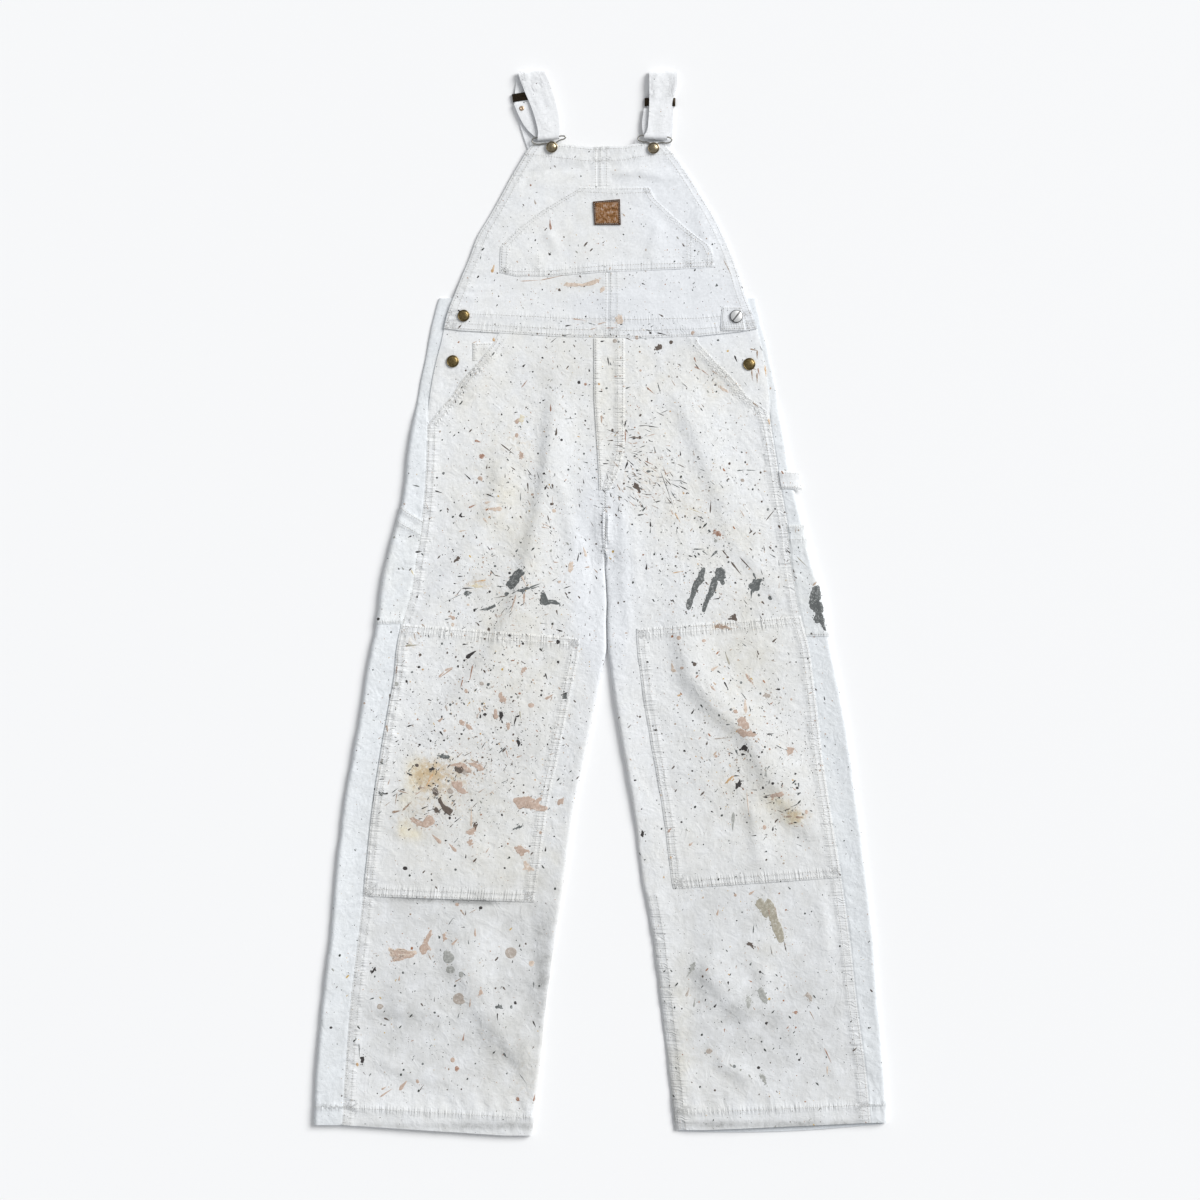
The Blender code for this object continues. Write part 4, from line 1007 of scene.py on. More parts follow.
BIB_SIDES = (  # (y, left, right)
    (601, -86, 79), (593, -93, 86), (573, -106, 102), (551, -119, 117), (527, -132, 132), (504, -145, 146),
    (478, -160.5, 159), (450, -171, 171), (426, -181, 179), (402, -190.5, 186), (380, -199, 194.5),
    (358, -204.5, 201.5), (340, -208, 206),
)
BIB_SEAM = ((601, -4.5), (540, -4.5), (430, 8.5), (340, 8.5))
BIB_FOOT = ((-205, 358), (-184, 355), (-132, 352), (-54, 347), (5, 346), (50, 345), (128, 348),
            (180, 353.5), (202, 357.5))
BIB_TOP = ((-86, 600), (-50, 597), (-15, 593), (4.5, 594), (30, 594), (40, 597), (79, 601))
BIB_LEVELS = ((601, 6.0, 5.4), (520, 6.2, 4.4), (430, 6.4, 4.6), (395, 7.0, 6.3), (362, 7.9, 7.7),
              (340, 7.9, 7.9))
BIB_ROLL = 30.0
BIB_ENDS = (350, 597)  # about where it ends, for a first guess at a point's place
TRIM_HEM = 13.0  # width of the bib's side hem
BIB_HEM = 21.0  # width of the hem along its top
BIB_CREASES = (
    (((-106, 538), (-93, 558), (-73, 564), (-15, 567)), -1.3, 5, 6),
    (((5, 558), (50, 560), (76, 554), (115, 555)), 1.7, 9, 5),
    (((-73, 484), (-62, 470), (-55, 452)), 1.2, 7, 7),
    (((76, 499), (66, 473), (61, 441)), 1.3, 12, 6),
    (((-185, 412), (-160, 408), (-140, 410)), 0.8, 5, 4),
    (((-188, 400), (-165, 397), (-130, 398)), 0.8, 5, 4),
    (((120, 520), (134, 480), (150, 440)), 0.9, 9, 7),
    (((-60, 395), (10, 402), (90, 396)), 0.7, 10, 10),
)
BACK_UPPER = ((522, -95, 95), (480, -112, 112), (440, -135, 135), (SEAT_TOP + GAP, -150, 150))


def bib_edge(x, y):
    """How far in from the nearer side of the bib a point lies."""
    return np.minimum(x - through(BIB_SIDES, 1, y), through(BIB_SIDES, 2, y) - x)


def bib_level(x, y):
    near, middle = bib_edge(x, y), through(BIB_LEVELS, 1, y)
    level = middle + (through(BIB_LEVELS, 2, y) - middle) * (1 - np.clip(near / BIB_ROLL, 0, 1)) ** 2
    level += creased(x, y, BIB_CREASES) + 0.7 * rumple(x, y, 48, 13) + 0.35 * rumple(x, y, 19, 14)
    level += puckers(near - TRIM_HEM + 3, y, 73, reach=8, pitch=6, rise=0.28)
    return level + 0.18 * rumple(x, y, 9, 15)


def bib_form(side):
    def form(u, v):
        share = 1 - v
        y = BIB_ENDS[0] + (BIB_ENDS[1] - BIB_ENDS[0]) * share
        for _ in range(5):  # a point's height and its place across depend on each other
            edge = through(BIB_SIDES, 1 if side == "left" else 2, y)
            x = edge + (through(BIB_SEAM, 1, y) + SIGN[side] * GAP / 2 - edge) * u
            foot, top = across_at(BIB_FOOT, x), across_at(BIB_TOP, x)
            y = foot + (top - foot) * share
        lie = bib_level(x, y) + puckers(top - y - BIB_HEM + 4, x, 75, reach=8, rise=0.25)
        on_fronts = front_level(side, x, y) + LAP + puckers(y - foot - 6, x, 76, reach=9, rise=0.25)
        return x, y, on_fronts + (lie - on_fronts) * ease(y - foot, 4, 22)

    return form


def bib_hems(x, y):
    return (bib_edge(x, y) < TRIM_HEM) | (across_at(BIB_TOP, x) - y < BIB_HEM)


bibs = {side: cloth("bib_half_" + side, "bib_" + side, 68, 96, bib_form(side), hems=bib_hems,
                    flattened=0.5) for side in SIDES}
for side, piece in bibs.items():
    rows = [("left", 3), ("left", TRIM_HEM - 2), ("top", 3), ("top", BIB_HEM - 3), ("bottom", 2.6), ("bottom", 9.5),
            ("bottom", 24), ("right", 3)]
    sew(piece, bib_form(side), rows + ([("right", 11)] if side == "right" else []))

upper_back = cloth("upper_back", "back_upper", 40, 24, panel_form(BACK_UPPER, lambda x, y: 0 * x, CLOTH),
                   slot="canvas_back")

# ======== what is sewn to the bib
# The patch pocket has slanted hand openings under a straight top, and carries a small leather patch, which is
# bare. A darned square of canvas strengthens the place where one side button was torn out.

BIB_POCKET = (
    (541, -27, 62), (525, -54, 71), (511, -77, 86), (489, -106, 109), (465, -131, 140), (450, -132, 146),
    (434, -132, 146),
)
POCKET_FOOT = ((-132, 430), (-110, 425), (-73, 425), (8, 431), (63, 433), (146, 437))
BUTTON_PATCH = ((386, 157, 181), (372, 155, 184), (355, 155, 187))
LEATHER_PATCH = ((523.5, -11, 24), (492, -9, 25))
LEATHER_THICK = 1.6
LEATHER_MIDDLE, LEATHER_SIZE = (7.0, 507.5), (35.0, 32.0)
LEATHER_RIM = (0.055, 0.023, 0.009, 1)
LEATHER_TONES = ((0.42, (0.115, 0.048, 0.016)), (0.5, (0.28, 0.125, 0.034)), (1.0, (1.0, 1.0, 1.0)))


def pocket_lie(x, y):
    near_foot = y - across_at(POCKET_FOOT, x)
    return bib_level(x, y) + 0.35 * rumple(x, y, 16, 17) + puckers(near_foot - 6, x, 77, reach=7, rise=0.25)


def upright(outline, x, top, foot):
    """A row of stitches straight down a piece at one place across."""
    y = np.linspace(top, foot, 30)
    left, right = straight(outline, 1, y), straight(outline, 2, y)
    return (x - left) / (right - left), (outline[0][0] - y) / (outline[0][0] - outline[-1][0])


chest_form = panel_form(BIB_POCKET, pocket_lie, LAP, foot=POCKET_FOOT)
bib_pocket = cloth("chest_pocket", "bib_pocket", 92, 46, chest_form, flattened=0.5)
sew(bib_pocket, chest_form, all_round((2.6, 8.4), 0.01, 0.99)
    + [upright(BIB_POCKET, *row) for row in ((-82, 458, 434), (111, 483, 436), (116, 481, 436))])
darned_form = panel_form(BUTTON_PATCH, bib_level, LAP)
darned_patch = cloth("darned_patch", "button_patch", 16, 18, darned_form, dirt=1.6)
sew(darned_patch, darned_form, all_round((2,), 0.05, 0.95)
    + [((across, across + 0.03), (0.62, 0.98)) for across in np.linspace(0.12, 0.85, 8)], pitch=2.6)


def leather_form(u, v):
    x, y, z = panel_form(LEATHER_PATCH, pocket_lie, LAP + GAP + LEATHER_THICK)(u, v)
    return x, y + 3 * (u - 0.5) * (1 - v), z


def worn_leather():
    """Vegetable-tanned leather, dark at its edges, rubbed paler over its middle."""
    made, tree, shader, place = material("worn_leather")
    cloudy = noise(tree, place, 0.22, 5.0, 0.7)
    streaks = noise(tree, stretched(tree, place, (1.3, 0.28, 1.0)), 0.8, 3.0)
    grain = put(tree, "TexVoronoi", {"Vector": place, "Scale": 1.7}, feature="DISTANCE_TO_EDGE")
    tanned = ramp(tree, times(tree, times(tree, streaks, 0.55, cloudy), 0.65), LEATHER_TONES)
    rim = put(tree, "Attribute", {}, "Fac", attribute_name="rim")
    edge = ranged(tree, times(tree, cloudy, 1.6, rim), 4.6, 2.4, 0.0, 0.92)
    surfaced(tree, shader, blend(tree, edge, tanned, LEATHER_RIM), 0.68,
             times(tree, streaks, 0.5, times(tree, grain, 0.6)), 0.0003)
    shader.inputs["Specular IOR Level"].default_value = 0.25
    return made


FINISHES["leather"] = worn_leather()
leather_patch = cloth("leather_label", "leather_patch", 20, 18, leather_form, thickness=LEATHER_THICK,
                      slot="leather")
x, y, _ = (points_of(leather_patch.data) / MM - (*CENTRE, 0)).T
out = [np.abs(at - middle) / size for at, middle, size in zip((x, y), LEATHER_MIDDLE, LEATHER_SIZE)]
note(leather_patch, "rim", (0.5 - np.maximum(*out)) * 33)
sew(leather_patch, leather_form, all_round((1.6,), 0.06, 0.94), pitch=2.4, size=(1.9, 0.6, 0.35))

# ======== shoulder straps
# Each strap is folded and stitched canvas: its end is riveted at the slide, runs down round the buckle's bar,
# up the front, over, and back down behind through the slide to the upper back.

WEBBING = 1.6
STRAPS = {  # x, y, z, width, and the angle of the width line to +X in degrees
    "left": (
        (-97.5, 652, 4.5, 33, 9), (-92.5, 638, 4.4, 31, 14), (-84.5, 622.5, 4.6, 29, 16), (-73, 608.5, 5.2, 28, 7),
        (-69.4, 605, 5.2, 28, 5.2), (-69, 603.6, 5.8, 28, 5.2), (-69, 603.1, 7.3, 28, 5.2),
        (-69, 603.6, 8.8, 28, 5.2), (-69, 605, 9.4, 28, 5.2), (-68.5, 612, 9.4, 28, 8), (-71, 631, 8.8, 30, 14),
        (-76.5, 651, 8, 32, 16), (-84, 671, 7.5, 34, 14), (-89.5, 685, 7.3, 34, 8), (-91, 689, 6.7, 34, 4),
        (-91.5, 690.8, 5.2, 34, 3), (-91.5, 690.8, 3.2, 34, 3), (-91.5, 689, 1.7, 34, 3), (-92.5, 684, 1.1, 34, 4),
        (-94.5, 675, 1.6, 34, 7), (-95.5, 668, 2.5, 34, 8), (-96, 652, 2.5, 34, 9), (-94.5, 645, 1.5, 34, 11),
        (-88, 622, 1.1, 34, 16), (-74, 580, 1.1, 34, 16), (-63, 545, 1.1, 34, 14), (-58, 525, 2.4, 34, 11),
        (-50, 470, 2.4, 34, 8),
    ),
    "right": (
        (71.5, 643.5, 4.5, 33, 0), (69.6, 635, 4.4, 31, -6), (67, 622.5, 4.6, 29, -10), (69, 609, 5.2, 30, -4),
        (70, 605.6, 5.2, 30, -3.4), (70, 604.2, 5.8, 30, -3.4), (70, 603.7, 7.3, 30, -3.4),
        (70, 604.2, 8.8, 30, -3.4), (70, 605.6, 9.4, 30, -3.4), (73, 612, 9.4, 29, -3), (76, 629, 9, 30, -4),
        (77, 652, 8.2, 30, -3), (80, 674, 7.6, 36, 0), (80, 685, 7.3, 36, 0), (80, 689, 6.7, 36, 0),
        (80, 690.8, 5.2, 36, 0), (80, 690.8, 3.2, 36, 0), (80, 689, 1.7, 35, 0), (79, 684, 1.1, 34, 0),
        (78, 667, 1.6, 34, 0), (77, 659.5, 2.5, 34, 0), (76, 644.5, 2.5, 34, 0), (76, 637, 1.5, 34, 0),
        (76, 615, 1.1, 34, 2), (71, 580, 1.1, 34, 10), (63, 545, 1.1, 34, 12), (58, 525, 2.4, 34, 11),
        (50, 470, 2.4, 34, 8),
    ),
}


def path_at(rows, v):
    """Every column of a strap's table at a share of its length, on a smooth curve."""
    rows = np.array(rows, dtype=float)
    run = run_along(rows[:, :3])
    return [through(np.column_stack((-run, rows)), column, -v * run[-1]) for column in range(1, 6)]


def strap_form(side, face=0.0):
    """A strap's middle layer, or its face when raised by half its thickness."""
    def form(u, v):
        x, y, z, width, turn = path_at(STRAPS[side], v)
        across = (u - 0.5) * width
        turn = np.radians(turn)
        front = ease(v, 0.25, 0.3) * (1 - ease(v, 0.48, 0.52))
        rows = np.exp(-(((np.abs(across) - width / 2 + 4) / 1.3) ** 2))
        lie = front * (0.5 * rumple(across + 40, v * 360, 13, 81) - 0.35 * rows
                       + 0.3 * rumple(across, v * 360 + across, 6, 82))
        return x + across * np.cos(turn), y + across * np.sin(turn), z + lie + face

    return form


straps = {side: cloth("shoulder_strap_" + side, "strap_" + side, 14, 190, strap_form(side),
                      thickness=WEBBING, slot="webbing", dirt=0.05, cream=0.08) for side in SIDES}
for side, piece in straps.items():
    piece.modifiers["Wall"].offset = 0
    sew(piece, strap_form(side, WEBBING / 2), [((at, at), ends) for at in (0.1, 0.22, 0.78, 0.9)
                                               for ends in ((0.01, 0.12), (0.27, 0.47), (0.62, 0.75))])

# ======== slides and rivets
# A flat steel sleeve, lacquered dark, holds two layers of each strap side by side; a copper-coloured rivet
# fixes the strap's end at it.

SLIDE_SIZE = (40.0, 10.5, 4.4)
SLIDE_LEVEL = GAP + SLIDE_SIZE[2] / 2
SLIDES = {"left": (-96, 660, SLIDE_LEVEL, 9), "right": (76, 652, SLIDE_LEVEL, 0)}  # x, y, z, turn in degrees
SLIDE_WALL = 1.0
RIVETS = {"left": (-103.5, 643.5, 5.6), "right": (70.5, 636.5, 5.6)}
RIVET_RADIUS = 3.2
OLD_DIRT = (0.022, 0.016, 0.011, 1)


def fitted(name, node, bm, finish, slot, x=0.0, y=0.0, z=0.0, turn=0.0, smooth_angle=40):
    """Makes a hardware piece of a bmesh in millimetres: turns its faces outward, puts it in its place and in its
    finish.
    """
    bmesh.ops.recalc_face_normals(bm, faces=bm.faces)
    bmesh.ops.rotate(bm, verts=bm.verts, matrix=Matrix.Rotation(math.radians(turn), 3, "Z"))
    bmesh.ops.translate(bm, verts=bm.verts, vec=(x, y, z))
    bmesh.ops.scale(bm, verts=bm.verts, vec=(MM, MM, MM))
    bmesh.ops.translate(bm, verts=bm.verts, vec=(CENTRE[0] * MM, CENTRE[1] * MM, 0))
    mesh = meshed(name, bm)
    mesh.shade_smooth()
    mesh.set_sharp_from_angle(angle=math.radians(smooth_angle))
    return shown(mesh, finish, node)


def bevelled(bm, edges, offset, segments):
    bmesh.ops.bevel(bm, geom=edges, offset=offset, segments=segments, affect="EDGES", profile=0.5, material=-1)


def slide():
    """A flat sleeve, open at its two long ends."""
    bm = bmesh.new()
    bmesh.ops.create_cube(bm, size=1.0)
    bmesh.ops.scale(bm, verts=bm.verts, vec=SLIDE_SIZE)
    bmesh.ops.delete(bm, geom=[face for face in bm.faces if abs(face.normal.y) > 0.9], context="FACES_ONLY")
    bevelled(bm, [edge for edge in bm.edges if abs(edge.verts[0].co.y - edge.verts[1].co.y) > 1], 1.6, 5)
    bmesh.ops.solidify(bm, geom=bm.faces[:], thickness=SLIDE_WALL)
    bmesh.ops.recalc_face_normals(bm, faces=bm.faces)
    bevelled(bm, [edge for edge in bm.edges if edge.calc_face_angle(0) > 1.2], 0.2, 2)
    return bm


def spun(profile, steps=48):
    """A round shape spun from a profile of (radius, height)."""
    bm = bmesh.new()
    verts = [bm.verts.new((radius, 0, height)) for radius, height in profile]
    edges = [bm.edges.new(pair) for pair in zip(verts, verts[1:])]
    bmesh.ops.spin(bm, geom=verts + edges, cent=(0, 0, 0), axis=(0, 0, 1), angle=2 * math.pi,
                   steps=steps, use_merge=True)
    bmesh.ops.remove_doubles(bm, verts=bm.verts, dist=0.001)
    return bm


def arc(radius, height, centre_z, start, end, steps):
    """Profile points on an ellipse about the axis, angles in degrees from the rim."""
    return [(radius * math.cos(a), centre_z + height * math.sin(a))
            for a in np.radians(np.linspace(start, end, steps))]


def metal(name, bright, dull, roughness, dulled, grain=0.25):
    """Worn metal: dulled in patches, rubbed bright elsewhere, with fine scratches, and dirt in its hollows."""
    made, tree, shader, place = material(name)
    patchy = noise(tree, place, 0.42, 6.0, 0.7)
    scratches = noise(tree, stretched(tree, place, (0.5, 4.0, 1.0)), 1.6, 4.0)
    face = blend(tree, ranged(tree, patchy, 0.40, 0.62, dulled * 0.35, dulled), (*bright, 1), (*dull, 1))
    grime = put(tree, "Attribute", {}, "Fac", attribute_name="grime")
    surfaced(tree, shader, blend(tree, grime, face, OLD_DIRT),
             times(tree, patchy, 0.35, roughness - 0.15), times(tree, scratches, grain, patchy), 0.0002, 0.5)
    shader.inputs["Metallic"].default_value = 1.0
    return made


def grimed(piece, where):
    """Marks the hollows of a metal piece that hold old dirt; where is given its points about their middle."""
    places = points_of(piece.data) / MM
    note(piece, "grime", where(*(places - np.append(places[:, :2].mean(axis=0), places[:, 2].max())).T))


LACQUERED = metal("dark_metal", (0.075, 0.055, 0.035), (0.018, 0.014, 0.010), 0.38, 0.9)
COPPERED = metal("copper", (0.66, 0.49, 0.34), (0.36, 0.27, 0.19), 0.42, 0.6)
RIVET = [(0, 0), (RIVET_RADIUS, 0), *arc(RIVET_RADIUS, 0.8, 0.3, 0, 60, 5), (1.2, 0.85), (0.9, 0.6), (0, 0.55)]
for side in SIDES:
    fitted("slide_" + side, "strap_slide_" + side, slide(), LACQUERED, "dark_metal", *SLIDES[side])
    fitted("rivet_" + side, "strap_rivet_" + side, spun(RIVET, 28), COPPERED, "copper", *RIVETS[side])

# ======== hook buckles
# One bent steel wire each: a long bar that the strap turns round, and an eye hooked under the bib button.

BENT_STEEL = metal("steel", (0.55, 0.54, 0.50), (0.16, 0.145, 0.12), 0.30, 0.8)
WIRE = 0.9
WIRE_LEVEL = 7.3
SHANK_TURN = 4.6  # radius of the wire round the shank
BUCKLES = {
    "left": {"button": (-64.4, 592.8), "before": ((-89, 603.4), (-76, 604.4), (-62, 605.7), (-48, 607),
                                                  (-46.8, 605.6), (-55, 601.3), (-59.5, 598.3)),
             "after": ((-70, 597.6), (-80, 596.8), (-87, 597.2), (-89.8, 600))},
    "right": {"button": (67.6, 591.5), "before": ((48.6, 606.8), (62, 606.1), (76, 605.3), (90, 604.4),
                                                  (91.2, 602), (86, 598.2), (79, 598.8), (72.6, 597.4)),
              "after": ((61.5, 598.4), (52, 600), (47.8, 603))},
}


def bent_wire(route):
    """A closed loop of wire bent through a route of (x, y), all at the wire's level."""
    curve = bpy.data.curves.new("wire", "CURVE")
    curve.dimensions = "3D"
    curve.bevel_depth, curve.bevel_resolution, curve.resolution_u = WIRE, 3, 6
    spline = curve.splines.new("BEZIER")
    spline.bezier_points.add(len(route) - 1)
    for point, (x, y) in zip(spline.bezier_points, route):
        point.co = (x, y, WIRE_LEVEL)
        point.handle_left_type = point.handle_right_type = "AUTO"
    spline.use_cyclic_u = True
    bent = bpy.data.objects.new("wire", curve)
    bm = bmesh.new()
    bm.from_mesh(bent.to_mesh())
    bpy.data.objects.remove(bent)
    bpy.data.curves.remove(curve)
    return bm


for side, shape in BUCKLES.items():
    x, y = shape["button"]
    eye = [(x + SHANK_TURN * math.cos(a), y + SHANK_TURN * math.sin(a)) for a in np.radians(np.linspace(50, -230, 18))]
    fitted("buckle_" + side, "hook_buckle_" + side, bent_wire([*shape["before"], *eye, *shape["after"]]), BENT_STEEL,
           "steel", smooth_angle=80)

# ======== buttons
# Two-part brass tack buttons with a domed, rimmed head. One of the four side buttons has been lost, and a
# slotted steel screw stud stands in for it.

SIDE_BUTTONS = {  # x, y, radius; the bib carries the upper one, the facings the lower ones
    "side_button_upper_left": (-178.8, 374, 7.8),
    "side_button_lower_left": (-193, 315, 8.0),
    "side_button_lower_right": (191.8, 311.4, 8.0),
}
SCREW_BUTTON = (174.9, 373.1, 8.3)
SCREW_SLOT = (2.0, 1.2, 52.0)  # width, depth, turn in degrees
SLOT_WALL = 0.05  # over this width each of the slot's walls drops
BIB_BUTTON = (7.5, 3.7)  # radius, and how high the crown stands over the head's underside
SIDE_HEAD, SIDE_CROWN = 0.8, 2.7  # how high the head's underside stands, and the crown over it


def button(name, node, finish, radius, head, crown, x, y, z):
    """Spins a shank, a flat underside, a rolled rim, a groove and the crown; the groove is full of dirt."""
    profile = [(0, 0), (3.0, 0), (3.0, head), (radius - 0.6, head), (radius, head + 0.6), (radius - 0.15, head + 1.1),
               (radius - 0.7, head + 1.35), (radius - 1.3, head + 1.1),
               *arc(radius - 1.5, crown - 1.0, head + 1.0, 8, 90, 9)]
    made = fitted(name, node, spun(profile), finish, "brass", x, y, z)
    grimed(made, lambda x, y, z: 0.85 * np.exp(-(((np.hypot(x, y) - radius + 1.15) / 0.45) ** 2)))


def seat(level, x, y):
    """Where a button's shank stands on the cloth."""
    return float(level(np.array(x), np.array(y))) + GAP


BRASS = metal("brass", (0.36, 0.27, 0.125), (0.105, 0.072, 0.026), 0.34, 0.9, 0.8)
RUBBED_BRASS = metal("rubbed_brass", (0.50, 0.43, 0.31), (0.16, 0.12, 0.065), 0.32, 0.8, 0.8)
for side in SIDES:
    x, y = BUCKLES[side]["button"]
    z = min(seat(bib_level, x, y), WIRE_LEVEL - WIRE - GAP)
    button("bib_stud_" + side, "bib_button_" + side, RUBBED_BRASS, BIB_BUTTON[0], WIRE_LEVEL + WIRE + GAP - z,
           BIB_BUTTON[1], x, y, z)
for node, (x, y, radius) in SIDE_BUTTONS.items():
    under = bib_level if "upper" in node else facing_level("left" if x < 0 else "right")
    button(node.replace("button", "stud"), node, BRASS, radius, SIDE_HEAD, SIDE_CROWN, x, y, seat(under, x, y))

x, y, radius = SCREW_BUTTON
width, depth, turn = SCREW_SLOT
bm = spun([(0, 0), (3, 0), (3, 0.8), (radius - 0.2, 0.8), (radius, 1.1), (radius, 1.9), (radius - 0.5, 2.5),
           (radius - 1.2, 2.8), (0, 2.95)], 64)
for cut in (SLOT_WALL - width / 2, -width / 2, width / 2 - SLOT_WALL, width / 2):
    bmesh.ops.bisect_plane(bm, geom=bm.verts[:] + bm.edges[:] + bm.faces[:], plane_co=(cut, 0, 0), plane_no=(1, 0, 0))
for vert in bm.verts:
    if abs(vert.co.x) < width / 2 - 0.02 and vert.co.z > 1.2:
        vert.co.z -= depth
BRIGHT_STEEL = metal("bright_steel", (0.97, 0.97, 0.96), (0.80, 0.80, 0.78), 0.42, 0.3)
screw = fitted("screw_stud", "screw_button_right", bm, BRIGHT_STEEL, "steel", x, y, seat(bib_level, x, y) + LAP + GAP,
               turn - 90, 25)
# the head's whole outer rim and the floor of its slot are darkened
grimed(screw, lambda x, y, z: np.where(np.hypot(x, y) > SCREW_BUTTON[2] - 0.9, 0.95, np.where(z < -0.7, 0.75, 0.0)))

# ======== dried paint
# Years of a painter's drips: near black and slate specks everywhere, drawn-out tan, rust and grey splashes on
# the thighs and knees. Each is a thin closed flake of dried paint that lies on the cloth under it.

PAINT_COLOURS = {  # sRGB, and how much the paint has been rubbed back to the cloth
    "black": ((42, 36, 35), 0.08),
    "slate": ((70, 75, 75), 0.36),
    "umber": ((84, 70, 60), 0.18),
    "taupe": ((170, 158, 147), 0.36),
    "tan": ((186, 160, 142), 0.36),
    "pale": ((206, 186, 168), 0.40),
    "rust": ((156, 108, 80), 0.42),
    "brown": ((150, 120, 94), 0.45),
    "ochre": ((200, 156, 98), 0.42),
    "straw": ((220, 205, 165), 0.60),
    "olive": ((160, 153, 134), 0.38),
    "grey": ((160, 161, 156), 0.38),
}
